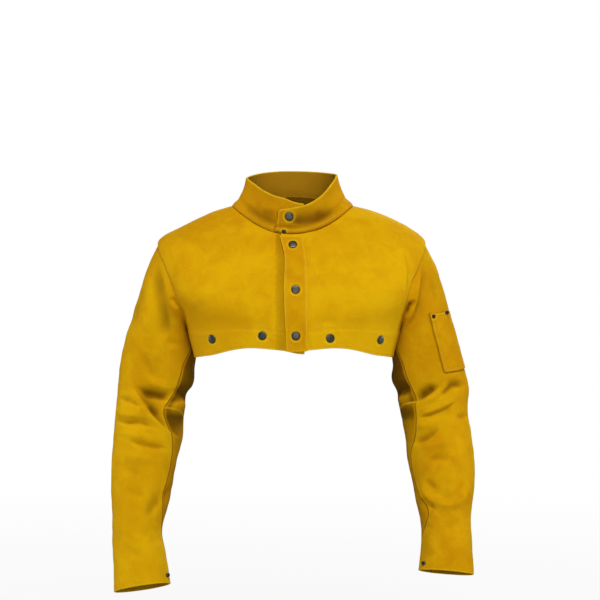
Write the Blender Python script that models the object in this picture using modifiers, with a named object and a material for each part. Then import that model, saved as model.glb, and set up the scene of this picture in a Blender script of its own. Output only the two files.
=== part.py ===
"""Welding cape sleeves in split leather: a short cape body with a stand collar, a snap placket and a
snap hem for a bib, and two long sleeves. The garment has the form that it takes on a standing wearer.

Frame: metres, +Z up, the wearer faces -Y, the wearer's left is +X. The origin is on the wearer's
upright axis at the height of the neck seam on top of the shoulders. Sizes below are in millimetres.
"""

import math
from collections import namedtuple

import bmesh
import bpy
from mathutils import Vector
from mathutils.bvhtree import BVHTree

MM = 0.001

# Leather and the gaps between pieces
LEATHER = 2.0
COLLAR_LEATHER = 3.2
SEAM_GAP = 0.5
SLEEVE_SEAM_GAP = 1.5
LAYER_GAP = 0.4
LAYER = LEATHER + LAYER_GAP
FACING_LAYER = LEATHER + 1.0

# Body rings, from the neck seam down to the hem. Each is a closed curve round the wearer.
# The first of the widths and heights are those at centre front, at the sides and at centre back.
Ring = namedtuple("Ring", "centre_x half_width front_y side_y back_y front_z side_z back_z square")
BODY_RINGS = (
    Ring(0, 102.0, -86, -8, 64, -52, 0, 22, 2.0),
    Ring(5, 150.0, -103, -4, 84, -74, -10, 8, 2.1),
    Ring(4, 200.0, -115, 0, 103, -98, -33, -18, 2.2),
    Ring(0, 234.0, -122, 2, 113, -126, -61, -52, 2.35),
    Ring(1, 233.0, -127, 0, 118, -156, -107, -95, 2.6),
    Ring(3, 212.0, -129, -6, 120, -184, -153, -145, 2.8),
    Ring(3, 189.0, -128, -10, 118, -211, -200, -205, 2.5),
    Ring(3, 172.0, -126, -14, 112, -248, -262, -244, 2.3),
)
NECK, TIP, UNDERARM, HEM = 0, 3, 6, 7
HEM_ARCH = 7.0
HEM_ARCH_AT = 27.0

# The armhole spans this much of the ring to each side of the shoulder line, in degrees
ARMHOLE_FRONT = 32.0
ARMHOLE_BACK = 36.0

# Front edges of the body panels: distance from the centre line at the neck, upper chest, chest and hem
FrontEdge = namedtuple("FrontEdge", "neck upper chest low hem")
PLACKET_FREE_EDGE = FrontEdge(-21, -11.5, -12.5, -11, -8)
PLACKET_SEWN_EDGE = FrontEdge(16, 22.5, 24.5, 24.5, 25.5)
LEFT_PANEL_EDGE = FrontEdge(-18, -9, -10, -8.5, -5.5)
RIGHT_PANEL_EDGE = FrontEdge(13, 19, 21, 21, 21)
OVERLAP_RISE_START = 24.0
OVERLAP_RISE_END = 50.0
OVERLAP_MIDDLE = 6.0
PLACKET_TOP = 0.13
PLACKET_DROP = 1.0
FACING_HEIGHT = 36.0

# Collar: a band whose left end lies over its right end at the front
COLLAR_TOP_HALF_WIDTH = 77.5
COLLAR_TOP_FRONT_Y = -82.0
COLLAR_TOP_SIDE_Y = -10.0
COLLAR_TOP_BACK_Y = 55.0
COLLAR_TOP_SIDE_Z = 52.0
COLLAR_TOP_BACK_Z = 66.0
COLLAR_UNDER_FRONT_Z = 6.0
COLLAR_OVER_FRONT_Z = -6.0
COLLAR_FLARE = 2.7
COLLAR_UNDER_END = 15.0
COLLAR_OVER_END = 15.5
COLLAR_OVERLAP_RISE = COLLAR_LEATHER + SEAM_GAP
COLLAR_SEAM_RISE, COLLAR_PLACKET_RISE = 1.0, 3.0
COLLAR_CORNER = 9.0

# Sleeve sections from the armhole to the cuff. Distances are outwards from the centre line. The outer
# point faces away from the wearer and the inner one towards the wearer. Rise is how much higher the
# front of a section is than its middle. Seam is the angle of the front seam, from outer round to front.
Section = namedtuple("Section", "outer_x outer_y outer_z inner_x inner_y inner_z depth rise seam")
RIGHT_SLEEVE = (
    Section(234.5, 2, -61, 186, -10, -200, 68, 0, 165),
    Section(252, 3, -104, 189, 6, -214, 68, 0, 163),
    Section(266, 5, -145, 187, 20, -233, 67, 0, 160),
    Section(279, 8, -187, 181, 32, -254, 66, 0, 155),
    Section(291, 11, -229, 174, 38, -280, 65, 0, 143),
    Section(301, 14, -271, 171, 38, -309, 63, 1, 130),
    Section(306, 16, -317, 182, 36, -334, 61, 3, 123),
    Section(310, 16, -359, 188, 32, -361, 59, 6, 118),
    Section(313, 13, -405, 194, 25, -405, 57, 9, 130),
    Section(316, 6, -455, 205, 15, -458, 55, 12, 145),
    Section(316, -4, -505, 214, 3, -510, 52, 14, 138),
    Section(313, -14, -555, 226, -10, -560, 49, 15, 160),
    Section(310, -25, -606, 220, -20, -602, 47, 16, 174),
    Section(307, -40, -665, 210, -32, -650, 45, 17, 178),
)
LEFT_SLEEVE = (
    Section(234.5, 2, -60, 192, -10, -200, 68, 0, 165),
    Section(248, 3, -100, 194, 6, -214, 68, 0, 163),
    Section(261, 5, -145, 192, 20, -233, 67, 0, 160),
    Section(272, 8, -187, 186, 32, -254, 66, 0, 152),
    Section(287, 11, -229, 179, 38, -280, 65, 0, 141),
    Section(299, 14, -271, 173, 38, -303, 63, 1, 130),
    Section(307, 16, -313, 182, 36, -332, 61, 3, 119),
    Section(305, 16, -352, 191, 32, -358, 59, 6, 116),
    Section(311, 13, -397, 197, 25, -398, 57, 9, 137),
    Section(320, 6, -447, 203, 15, -442, 55, 12, 140),
    Section(318, -4, -496, 215, 3, -500, 52, 14, 141),
    Section(311, -14, -540, 223, -10, -543, 49, 15, 135),
    Section(313, -25, -585, 225, -20, -585, 47, 16, 160),
    Section(314, -40, -638, 219, -32, -631, 45, 16, 175),
)
BACK_SEAM = -120.0
ELBOW_SEAM = 6.6
HEAD_LENGTH = 3.0

# Folds, as seen from the front. Each runs from its start to its end and bows to the left of that
# direction. Height is out of the surface. Left and right are the fold's widths on its two sides.
Fold = namedtuple("Fold", "start_x start_z end_x end_z bow height left right")
RIGHT_SLEEVE_FOLDS = (
    Fold(-230, -96, -206, -222, -3, -6.0, 9, 9),
    Fold(-250, -135, -263, -233, 0, -3.0, 11, 11),
    Fold(-256, -324, -204, -333, 0, -8.0, 9, 7),
    Fold(-280, -310, -224, -374, 0, 5.5, 4, 20),
    Fold(-222, -368, -196, -380, 0, -7.0, 9, 8),
    Fold(-292, -374, -250, -381, 0, -3.5, 8, 8),
    Fold(-282, -409, -232, -419, 0, -3.5, 8, 8),
    Fold(-250, -531, -220, -484, 0, -5.0, 9, 9),
)
LEFT_SLEEVE_FOLDS = (
    Fold(226, -92, 197, -214, 6, -6.0, 9, 7),
    Fold(208, -322, 246, -315, 0, -11.0, 11, 7),
    Fold(256, -326, 296, -307, 3, -4.5, 7, 7),
    Fold(228, -355, 284, -342, 0, -7.0, 8, 8),
    Fold(205, -405, 249, -388, 0, -7.0, 10, 7),
    Fold(228, -486, 302, -478, -30, 4.5, 9, 9),
)
BODY_FOLDS = (
    Fold(-188, -92, -188, -168, 0, 3.5, 9, 6),
    Fold(193, -82, 196, -168, 0, 3.5, 6, 9),
)
COLLAR_DENTS = (Fold(-24, -20, 62, -14, 0, -4.0, 9, 9),)
FOLD_TAPER = 0.22

# Pen pocket on the outer side of the left sleeve: its edges as angles round the sleeve and heights
POCKET_FRONT_TOP, POCKET_FRONT_BOTTOM, POCKET_SPAN = 73.0, 67.0, 62.0
POCKET_TOP_Z, POCKET_BOTTOM_Z, POCKET_REAR_LIFT = -188.0, -287.0, 6.0

# Fasteners: the place of each on the front view, the piece it sits on, and what it goes through
SNAP_RADIUS = 7.6
RIVET_RADIUS = 4.3
POST_RADIUS = 2.0
HOLE_CLEARANCE = 0.4
SEAT_GAP = 0.35
BACK_SEAT_GAP = 1.0
FASTENER_SIDES = 10
POCKET_LAYER = LAYER + 0.3
COLLAR_STACK = 2 * COLLAR_LEATHER + SEAM_GAP + 0.6
PLACKET_STACK = 2 * LAYER + LEATHER
HEM_STACK = FACING_LAYER + LEATHER
POCKET_STACK = POCKET_LAYER + LEATHER + 0.5
Fastener = namedtuple("Fastener", "name piece x z radius seat stack socket")
FASTENERS = (
    Fastener("collar_snap", "collar", -4.7, -20.6, SNAP_RADIUS, 0.9, COLLAR_STACK, False),
    Fastener("collar_rivet", "collar", -14.1, -44.4, RIVET_RADIUS, SEAT_GAP, COLLAR_STACK, False),
    Fastener("placket_snap_1", "front_placket", 1.5, -68.8, SNAP_RADIUS, SEAT_GAP, PLACKET_STACK, False),
    Fastener("placket_snap_2", "front_placket", 6.3, -145, SNAP_RADIUS, SEAT_GAP, PLACKET_STACK, False),
    Fastener("placket_snap_3", "front_placket", 6.8, -223.3, SNAP_RADIUS, SEAT_GAP, PLACKET_STACK, False),
    Fastener("hem_snap_1", "right_front_panel", -133.8, -228.7, SNAP_RADIUS, SEAT_GAP, HEM_STACK, True),
    Fastener("hem_snap_2", "right_front_panel", -49.4, -223, SNAP_RADIUS, SEAT_GAP, HEM_STACK, True),
    Fastener("hem_snap_3", "left_front_panel", 64.8, -227.1, SNAP_RADIUS, SEAT_GAP, HEM_STACK, True),
    Fastener("hem_snap_4", "left_front_panel", 149.3, -229.6, SNAP_RADIUS, SEAT_GAP, HEM_STACK, True),
    Fastener("pocket_rivet_1", "sleeve_pocket", 244.9, -191.1, RIVET_RADIUS, SEAT_GAP, POCKET_STACK, False),
    Fastener("pocket_rivet_2", "sleeve_pocket", 271.4, -186, RIVET_RADIUS, SEAT_GAP, POCKET_STACK, False),
    Fastener("right_cuff_rivet", "right_top_sleeve", -213, -636, RIVET_RADIUS, SEAT_GAP, LEATHER, False),
    Fastener("left_cuff_rivet", "left_top_sleeve", 225.8, -615.2, RIVET_RADIUS, SEAT_GAP, LEATHER, False),
)

# Mesh densities
RING_STEPS_SHOULDER, ARMHOLE_STEP, RING_STEPS_SIDE = 4, 15, 3
PANEL_COLUMNS = 7
BACK_COLUMNS = 16
TOP_SLEEVE_COLUMNS = 16
UNDER_SLEEVE_COLUMNS = 5
SLEEVE_ROWS = (0, 0.35, 0.8, 1.4, 2, 2.6, 3.2, 3.8, 4.4, 5, 5.5, 5.9, 6.25, 6.6, 6.95, 7.3, 7.7,
               8.1, 8.6, 9.2, 9.8, 10.4, 11, 12, 13)

LEATHER_COLOUR = (0.62, 0.34, 0.012, 1)
METAL_COLOUR = (0.075, 0.078, 0.062, 1)


def smooth(value):
    """0 below 0, 1 above 1, and a smooth step between."""
    value = min(1.0, max(0.0, value))
    return value * value * (3 - 2 * value)


def through(values, place):
    """The value at a fractional index, on a smooth curve through all the values."""
    last = len(values) - 1
    index = min(last - 1, max(0, int(math.floor(place))))
    step = place - index
    before, start = values[max(0, index - 1)], values[index]
    end, after = values[index + 1], values[min(last, index + 2)]
    return start + 0.5 * step * (
        end - before
        + step * (2 * before - 5 * start + 4 * end - after + step * (3 * (start - end) + after - before))
    )


def row_at(table, place):
    """A row of the table's kind, interpolated at a fractional index."""
    kind = type(table[0])
    return kind(*(through([row[i] for row in table], place) for i in range(len(kind._fields))))


def fold_height(folds, x, z):
    """How far the folds lift the surface at this place of the front view."""
    total = 0.0
    for fold in folds:
        run_x, run_z = fold.end_x - fold.start_x, fold.end_z - fold.start_z
        length = math.hypot(run_x, run_z)
        along = ((x - fold.start_x) * run_x + (z - fold.start_z) * run_z) / length**2
        across = ((z - fold.start_z) * run_x - (x - fold.start_x) * run_z) / length
        across -= fold.bow * 4 * along * (1 - along)
        width = fold.left if across > 0 else fold.right
        taper = smooth((along + FOLD_TAPER / 2) / FOLD_TAPER)
        taper *= smooth((1 + FOLD_TAPER / 2 - along) / FOLD_TAPER)
        total += fold.height * math.exp(-((across / width) ** 2)) * taper
    return total


def normal_of(surface, p, q, side=1):
    """The outward normal of surface(p, q), for q running round the wearer's left."""
    step = 0.01
    first = surface(p + step, q) - surface(p - step, q)
    second = surface(p, q + step * 20) - surface(p, q - step * 20)
    return (side * first.cross(second)).normalized()


def body_form(t, angle):
    """The body without its folds. t counts the rings down, angle is degrees from centre front."""
    ring = row_at(BODY_RINGS, t)
    sine, cosine = math.sin(math.radians(angle)), math.cos(math.radians(angle))
    reach = (abs(sine) ** ring.square + abs(cosine) ** ring.square) ** (-1 / ring.square)
    end_y, end_z = (ring.front_y, ring.front_z) if cosine > 0 else (ring.back_y, ring.back_z)
    arch = math.cos(math.radians(90 * min(1, abs(abs(angle) - HEM_ARCH_AT) / HEM_ARCH_AT))) ** 2
    return Vector((
        ring.centre_x + ring.half_width * sine * reach,
        ring.side_y + (end_y - ring.side_y) * abs(cosine) * reach,
        ring.side_z + (end_z - ring.side_z) * cosine**2 + HEM_ARCH * arch * smooth(t - HEM + 1.6),
    ))


def body_surface(t, angle, offset=0.0):
    """The outer face of the body, moved outwards by offset."""
    point = body_form(t, angle)
    lift = offset
    if abs(angle) < 90:
        lift += fold_height(BODY_FOLDS, point.x, point.z)
    return point + lift * normal_of(body_form, t, angle) if lift else point


def angle_at_x(t, x):
    """The angle near centre front where the ring has this x."""
    ring = row_at(BODY_RINGS, t)
    return math.degrees(math.asin((x - ring.centre_x) / ring.half_width))


def front_edge_x(edge, t):
    return through(edge, (len(edge) - 1) * t / HEM)


def armhole_place(turn, back=False):
    """(t, angle) on the armhole edge, for turn 0 at the shoulder tip and 180 at the underarm."""
    middle, half = (TIP + UNDERARM) / 2, (UNDERARM - TIP) / 2
    spread = ARMHOLE_BACK if back else -ARMHOLE_FRONT
    bow = math.sin(math.radians(turn))
    return middle - half * math.cos(math.radians(turn)), 90 + spread * bow


def ring_rows():
    """(t, angle of the front panel's side edge, angle of the back panel's) for each mesh row."""
    rows = [(TIP * i / RING_STEPS_SHOULDER, 90.0, 90.0) for i in range(RING_STEPS_SHOULDER)]
    for turn in range(0, 181, ARMHOLE_STEP):
        t, front = armhole_place(turn)
        rows.append((t, front, armhole_place(turn, back=True)[1]))
    step = (HEM - UNDERARM) / RING_STEPS_SIDE
    rows += [(UNDERARM + step * (i + 1), 90.0, 90.0) for i in range(RING_STEPS_SIDE)]
    return rows


def seam_angle(t, sides=1):
    """Half of the seam gap on this ring, in degrees near the side."""
    ring = row_at(BODY_RINGS, t)
    return sides * math.degrees(SEAM_GAP / 2 / (ring.back_y - ring.side_y))


def overlap_offset(x):
    """How far the left front panel lies above the ring surface where it laps the right one."""
    return LAYER * smooth((OVERLAP_RISE_END - x) / (OVERLAP_RISE_END - OVERLAP_RISE_START))


def front_angles(side, t, side_edge):
    """The angles of a front panel's columns. Those in the overlap are shared by all its layers."""
    underlap_x = front_edge_x(RIGHT_PANEL_EDGE, t)
    if side > 0:
        places = (front_edge_x(LEFT_PANEL_EDGE, t), OVERLAP_MIDDLE, underlap_x, 36.0)
    else:
        places = (underlap_x, OVERLAP_MIDDLE, -9.0)
    angles = [angle_at_x(t, x) for x in places]
    start, end = angles.pop(), side * (side_edge - seam_angle(t))
    return angles + [start + (end - start) * i / PANEL_COLUMNS for i in range(PANEL_COLUMNS + 1)]


def sleeve_section(table, k, turn):
    """A point of the plain elliptical section k, on the wearer's left."""
    row = row_at(table, k)
    outer = Vector((row.outer_x, row.outer_y, row.outer_z))
    inner = Vector((row.inner_x, row.inner_y, row.inner_z))
    cosine, sine = math.cos(math.radians(turn)), math.sin(math.radians(turn))
    return (outer + inner) / 2 + cosine * (outer - inner) / 2 + sine * Vector((0, -row.depth, row.rise))


def sleeve_rim(side, turn):
    """Where the sleeve's outer face starts: inside the hole, and under the body's edge at the tip."""
    turn = (turn + 180) % 360 - 180
    t, angle = armhole_place(abs(turn), back=turn < 0)
    centre_t, centre_angle = (TIP + UNDERARM) / 2, 90.0
    edge = body_surface(t, side * angle)
    inwards = body_form(t + 0.02 * (centre_t - t), side * (angle + 0.02 * (centre_angle - angle)))
    inwards = (inwards - body_form(t, side * angle)).normalized()
    sink = (LAYER + 0.5) * (1 + math.cos(math.radians(turn))) / 2
    return edge + SEAM_GAP * inwards - sink * normal_of(body_form, t, side * angle)


def sleeve_form(side, k, turn):
    """The sleeve without its folds: side is 1 for the wearer's left, k counts the sections."""
    table = LEFT_SLEEVE if side > 0 else RIGHT_SLEEVE
    point = sleeve_section(table, k, turn)
    start = sleeve_section(table, 0, turn)
    share = (1 - smooth(k / HEAD_LENGTH)) if k < HEAD_LENGTH else 0.0
    point.x, start.x = side * point.x, side * start.x
    if share:
        point += share * (sleeve_rim(side, turn) - start)
    return point


def sleeve_normal(side, k, turn):
    step = 0.02
    low, high = max(0, k - step), min(len(LEFT_SLEEVE) - 1, k + step)
    along = sleeve_form(side, high, turn) - sleeve_form(side, low, turn)
    around = sleeve_form(side, k, turn + 1) - sleeve_form(side, k, turn - 1)
    return (side * around.cross(along)).normalized()


def sleeve_surface(side, k, turn, offset=0.0):
    """The outer face of a sleeve with its folds, moved outwards by offset."""
    point = sleeve_form(side, k, turn)
    normal = sleeve_normal(side, k, turn)
    facing = smooth((0.25 - normal.y) / 0.6) * smooth((k - 0.3) / 0.8)
    folds = LEFT_SLEEVE_FOLDS if side > 0 else RIGHT_SLEEVE_FOLDS
    return point + (offset + facing * fold_height(folds, point.x, point.z)) * normal


def sleeve_place_at_z(side, turn, z):
    """The fractional section where the sleeve at this turn has this height."""
    low, high = 0.0, float(len(LEFT_SLEEVE) - 1)
    for _ in range(30):
        middle = (low + high) / 2
        if sleeve_form(side, middle, turn).z > z:
            low = middle
        else:
            high = middle
    return (low + high) / 2


def collar_point(band, up):
    """The collar's outer face: band 0 is the under end, 1 the over end, up is 0 at the neck seam."""
    angle = COLLAR_UNDER_END - band * (360 + COLLAR_UNDER_END + COLLAR_OVER_END)
    sine, cosine = math.sin(math.radians(angle)), math.cos(math.radians(angle))
    base = body_form(NECK, angle)
    base_out = Vector((sine, -cosine, 0))
    base -= SEAM_GAP * base_out
    base.z += COLLAR_SEAM_RISE + (COLLAR_PLACKET_RISE - COLLAR_SEAM_RISE) * smooth((band - 0.7) / 0.14)
    front_z = COLLAR_UNDER_FRONT_Z + (COLLAR_OVER_FRONT_Z - COLLAR_UNDER_FRONT_Z) * smooth(band)
    end_y = COLLAR_TOP_FRONT_Y if cosine > 0 else COLLAR_TOP_BACK_Y
    end_z = front_z if cosine > 0 else COLLAR_TOP_BACK_Z
    top = Vector((
        COLLAR_TOP_HALF_WIDTH * sine,
        COLLAR_TOP_SIDE_Y + (end_y - COLLAR_TOP_SIDE_Y) * abs(cosine),
        COLLAR_TOP_SIDE_Z + (end_z - COLLAR_TOP_SIDE_Z) * cosine**2,
    ))
    flare = (1 - up) ** COLLAR_FLARE
    point = Vector((
        top.x + (base.x - top.x) * flare,
        top.y + (base.y - top.y) * flare,
        base.z + (top.z - base.z) * up,
    ))
    lift = COLLAR_OVERLAP_RISE * smooth((band - 0.72) / 0.16)
    if cosine > 0.5:
        lift += fold_height(COLLAR_DENTS, point.x, point.z)
    return point + lift * base_out


def grid_mesh(name, rows):
    """A mesh of quads through rows of points in millimetres."""
    mesh = bpy.data.meshes.new(name)
    shape = bmesh.new()
    grid = [[shape.verts.new(point * MM) for point in row] for row in rows]
    for upper, lower in zip(grid, grid[1:]):
        for i in range(len(upper) - 1):
            shape.faces.new((upper[i], upper[i + 1], lower[i + 1], lower[i]))
    shape.to_mesh(mesh)
    shape.free()
    return mesh


def leather_piece(name, rows, flip, thickness=LEATHER):
    """One piece of leather: an open grid, thickened inwards, with the fastener holes cut."""
    mesh = grid_mesh(name, rows)
    if flip:
        mesh.flip_normals()
    mesh.shade_smooth()
    piece = bpy.data.objects.new(name, mesh)
    PARTS.objects.link(piece)
    mesh.materials.append(LEATHER_MATERIAL)
    solidify = piece.modifiers.new("thickness", "SOLIDIFY")
    solidify.thickness = thickness * MM
    solidify.offset = -1
    solidify.use_even_offset = True
    return piece


def make_front_panel(name, side):
    """The front of the cape on one side, from the neck seam and shoulder seam to the hem."""
    rows = []
    for t, side_edge, _ in ring_rows():
        rows.append([body_surface(t, angle, overlap_offset(body_form(t, angle).x) if side > 0 else 0.0)
                     for angle in front_angles(side, t, side_edge)])
    return leather_piece(name, rows, flip=side > 0)


def make_back_panel():
    rows = []
    for t, _, edge in ring_rows():
        start = edge + seam_angle(t)
        span = 360 - 2 * start
        rows.append([body_surface(t, start + span * i / BACK_COLUMNS) for i in range(BACK_COLUMNS + 1)])
    return leather_piece("back_panel", rows, flip=True)


def make_placket():
    """The snap strip, sewn on top of the left front panel's edge."""
    rows = []
    for t, _, _ in ring_rows():
        t = max(t, PLACKET_TOP)
        places = (front_edge_x(PLACKET_FREE_EDGE, t), OVERLAP_MIDDLE, front_edge_x(RIGHT_PANEL_EDGE, t),
                  front_edge_x(PLACKET_SEWN_EDGE, t))
        rows.append([body_surface(t, angle_at_x(t, x), 2 * LAYER) for x in places])
    rows[-1] = [point - Vector((0, 0, PLACKET_DROP)) for point in rows[-1]]
    return leather_piece("front_placket", rows, flip=True)


def make_hem_facing(name, side):
    """The strip inside the front hem that the bib snaps are set through."""
    rows = []
    for step in (1.0, 0.5, 0.02):
        row = []
        for angle in front_angles(side, HEM, 90.0)[3 if side > 0 else 2:-1]:
            ring_height = body_form(HEM - 1, angle).z - body_form(HEM, angle).z
            t = HEM - step * FACING_HEIGHT / ring_height
            offset = overlap_offset(body_form(t, angle).x) if side > 0 else 0.0
            row.append(body_surface(t, angle, offset - FACING_LAYER))
        rows.append(row)
    return leather_piece(name, rows, flip=side > 0)


def make_collar():
    """The stand collar, with the lower part of its over end squared and the top corner rounded."""
    columns, levels = 32, 4
    rows = []
    for j in range(levels + 1):
        row = []
        for i in range(columns + 1):
            band = i / columns
            up = j / levels
            if i == columns and j == levels:
                up, band = 0.93, 0.996
            row.append(collar_point(band, up))
        rows.append(row)
    return leather_piece("collar", rows, flip=True, thickness=COLLAR_LEATHER)


def make_sleeve_piece(name, side, first, last, under):
    """A sleeve panel between two sections: the top sleeve, or the under sleeve behind the seam."""
    table = LEFT_SLEEVE if side > 0 else RIGHT_SLEEVE
    places = [k for k in SLEEVE_ROWS if first < k < last]
    places = [first + (0.012 if first else 0)] + places + [last - (0.012 if last < len(table) - 1 else 0)]
    rows = []
    for k in places:
        row = row_at(table, k)
        gap = math.degrees(SLEEVE_SEAM_GAP / 2 / row.depth) * (1 + max(0, 1 - k / HEAD_LENGTH))
        start, end = (row.seam + gap, 360 + BACK_SEAM - gap) if under else (BACK_SEAM + gap, row.seam - gap)
        count = UNDER_SLEEVE_COLUMNS if under else TOP_SLEEVE_COLUMNS
        rows.append([sleeve_surface(side, k, start + (end - start) * i / count) for i in range(count + 1)])
    return leather_piece(name, rows, flip=side < 0)


def pocket_surface(across, down, offset):
    """A place on the pen pocket: across is 0 at its front edge, down is 0 at its top edge."""
    front = POCKET_FRONT_TOP + (POCKET_FRONT_BOTTOM - POCKET_FRONT_TOP) * down
    turn = front - across * POCKET_SPAN
    z = POCKET_TOP_Z + (POCKET_BOTTOM_Z - POCKET_TOP_Z) * down + across * POCKET_REAR_LIFT
    return sleeve_surface(1, sleeve_place_at_z(1, turn, z), turn, offset)


def make_pocket():
    across, down = 6, 6
    rows = [[pocket_surface(i / across, j / down, POCKET_LAYER) for i in range(across + 1)]
            for j in range(down + 1)]
    return leather_piece("sleeve_pocket", rows, flip=True)


def fastener_profile(radius, seat, stack, socket):
    """Half of a snap or rivet's section, top to bottom: cap, post, and a back or a socket."""
    cap = 0.28 * radius
    back = 0.72 * radius
    thick = 3.0 if socket else 0.18 * radius
    low = -stack - BACK_SEAT_GAP
    profile = [(0, seat + cap), (0.55 * radius, seat + 0.85 * cap),
               (0.92 * radius, seat + 0.45 * cap), (radius, seat),
               (POST_RADIUS, seat), (POST_RADIUS, low), (back, low), (back, low - thick)]
    if socket:
        profile += [(0.3 * radius, low - thick), (0.3 * radius, low - 1.0), (0, low - 1.0)]
    else:
        profile += [(0, low - thick)]
    return profile


def seat_of(piece, x, z):
    """(point, normal) where the front of a piece's outer face has this x and z."""
    mesh = piece.data
    corners = [vertex.co for vertex in mesh.vertices]
    tree = BVHTree.FromPolygons(corners, [tuple(face.vertices) for face in mesh.polygons])
    point, normal, _, _ = tree.ray_cast(Vector((x, -500, z)) * MM, Vector((0, 1, 0)))
    return point, normal if normal.y < 0 else -normal


def make_fastener(fastener):
    """A snap or rivet set through the leather, and the cutter of its holes."""
    point, normal = seat_of(bpy.data.objects[fastener.piece], fastener.x, fastener.z)
    mesh = bpy.data.meshes.new(fastener.name)
    profile = fastener_profile(fastener.radius, fastener.seat, fastener.stack, fastener.socket)
    mesh.from_pydata([(r * MM, 0, h * MM) for r, h in profile],
                     [(i, i + 1) for i in range(len(profile) - 1)], [])
    mesh.materials.append(METAL_MATERIAL)
    piece = bpy.data.objects.new(fastener.name, mesh)
    PARTS.objects.link(piece)
    turned = piece.modifiers.new("turned", "SCREW")
    turned.steps = turned.render_steps = FASTENER_SIDES
    turned.use_merge_vertices = True
    turned.merge_threshold = 0.00001
    cutter_mesh = bpy.data.meshes.new(fastener.name + "_hole")
    shape = bmesh.new()
    hole = (POST_RADIUS + HOLE_CLEARANCE) * MM
    bmesh.ops.create_cone(shape, cap_ends=True, segments=8, radius1=hole, radius2=hole,
                          depth=(fastener.stack + 4) * MM)
    bmesh.ops.translate(shape, verts=shape.verts, vec=(0, 0, -fastener.stack / 2 * MM))
    shape.to_mesh(cutter_mesh)
    shape.free()
    cutter = bpy.data.objects.new(fastener.name + "_hole", cutter_mesh)
    CUTTERS.objects.link(cutter)
    cutter.hide_render = True
    cutter.display_type = "WIRE"
    for turned_object in (piece, cutter):
        turned_object.location = point
        turned_object.rotation_mode = "QUATERNION"
        turned_object.rotation_quaternion = normal.to_track_quat("Z", "Y")


def make_material(name, colour, roughness, metallic):
    material = bpy.data.materials.new(name)
    material.use_nodes = True
    shader = material.node_tree.nodes["Principled BSDF"]
    shader.inputs["Base Color"].default_value = colour
    shader.inputs["Roughness"].default_value = roughness
    shader.inputs["Metallic"].default_value = metallic
    return material


def cut_fastener_holes(pieces):
    for piece in pieces:
        boolean = piece.modifiers.new("holes", "BOOLEAN")
        boolean.operand_type = "COLLECTION"
        boolean.collection = CUTTERS
        boolean.operation = "DIFFERENCE"


for old in list(bpy.data.objects):
    bpy.data.objects.remove(old)

PARTS = bpy.data.collections.new("welding_cape")
CUTTERS = bpy.data.collections.new("cutters")
bpy.context.scene.collection.children.link(PARTS)
bpy.context.scene.collection.children.link(CUTTERS)
LEATHER_MATERIAL = make_material("golden_split_leather", LEATHER_COLOUR, 0.85, 0.0)
METAL_MATERIAL = make_material("dark_snap_metal", METAL_COLOUR, 0.4, 0.9)

SLEEVE_END = len(LEFT_SLEEVE) - 1
pierced = [
    make_front_panel("right_front_panel", -1),
    make_front_panel("left_front_panel", 1),
    make_placket(),
    make_hem_facing("right_hem_facing", -1),
    make_hem_facing("left_hem_facing", 1),
    make_collar(),
    make_sleeve_piece("right_top_sleeve", -1, 0, SLEEVE_END, under=False),
    make_sleeve_piece("left_top_sleeve", 1, 0, SLEEVE_END, under=False),
    make_pocket(),
]
make_back_panel()
for word, hand in (("right", -1), ("left", 1)):
    make_sleeve_piece(f"{word}_under_sleeve_upper", hand, 0, ELBOW_SEAM, under=True)
    make_sleeve_piece(f"{word}_under_sleeve_lower", hand, ELBOW_SEAM, SLEEVE_END, under=True)
for entry in FASTENERS:
    make_fastener(entry)
cut_fastener_holes(pierced)
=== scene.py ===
"""Welding cape sleeves in golden split leather, dressed for a picture.

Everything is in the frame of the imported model: metres, +Z up, with the front towards -Y and the
garment's own left towards +X. Sizes below are in millimetres and angles in degrees. The camera
stands in front, so creases are placed on the plane y = 0 as that camera sees them.
"""

import math
from collections import namedtuple

import bpy
import numpy as np
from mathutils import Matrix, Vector


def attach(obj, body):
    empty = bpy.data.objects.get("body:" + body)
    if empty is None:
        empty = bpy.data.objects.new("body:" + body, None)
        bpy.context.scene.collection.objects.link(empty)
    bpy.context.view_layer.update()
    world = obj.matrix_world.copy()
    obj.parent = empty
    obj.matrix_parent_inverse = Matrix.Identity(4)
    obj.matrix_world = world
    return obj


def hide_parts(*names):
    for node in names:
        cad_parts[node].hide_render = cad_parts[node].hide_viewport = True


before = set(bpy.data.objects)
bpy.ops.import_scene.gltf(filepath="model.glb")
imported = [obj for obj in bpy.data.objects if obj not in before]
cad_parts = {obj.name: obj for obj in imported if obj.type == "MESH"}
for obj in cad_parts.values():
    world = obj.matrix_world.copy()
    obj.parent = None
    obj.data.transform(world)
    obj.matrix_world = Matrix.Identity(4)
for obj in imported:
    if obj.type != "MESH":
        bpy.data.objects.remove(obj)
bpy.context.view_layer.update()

MM = 0.001
EYE = (14.0, -3100.0, -162.75)
SENSOR_WIDTH, VIEW_WIDTH = 36, 1050.0
SIDES = {"right": -1, "left": 1}

# Leather: how thick it is, how far one layer lifts the next and how tightly edges are turned
LEATHER, COLLAR_LEATHER = 2.0, 3.2
LAYER, FACING_LAYER, POCKET_LAYER = 2.4, 3.0, 2.7
SEAM_ROLL, ARMHOLE_ROLL, SLEEVE_ROLL = 1.3, 2.0, 1.8
RIM_BULGE = 0.32

# Painted shade along seams: how deep it darkens the leather, and how far it reaches
SEAM_SHADE, SEAM_REACH = 9.0, 2.2
NECK_REACH, COLLAR_TOP_REACH = 1.0, 1.3
PLAIN_ARMHOLE_ROWS, PLAIN_HEAD_COLUMNS = 32, 96
COLLAR_END_REACH, COLLAR_END_SHADE = 9.0, 9.0
TURNED_REACH, FAR_FROM_EDGE = 6, 20

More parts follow.
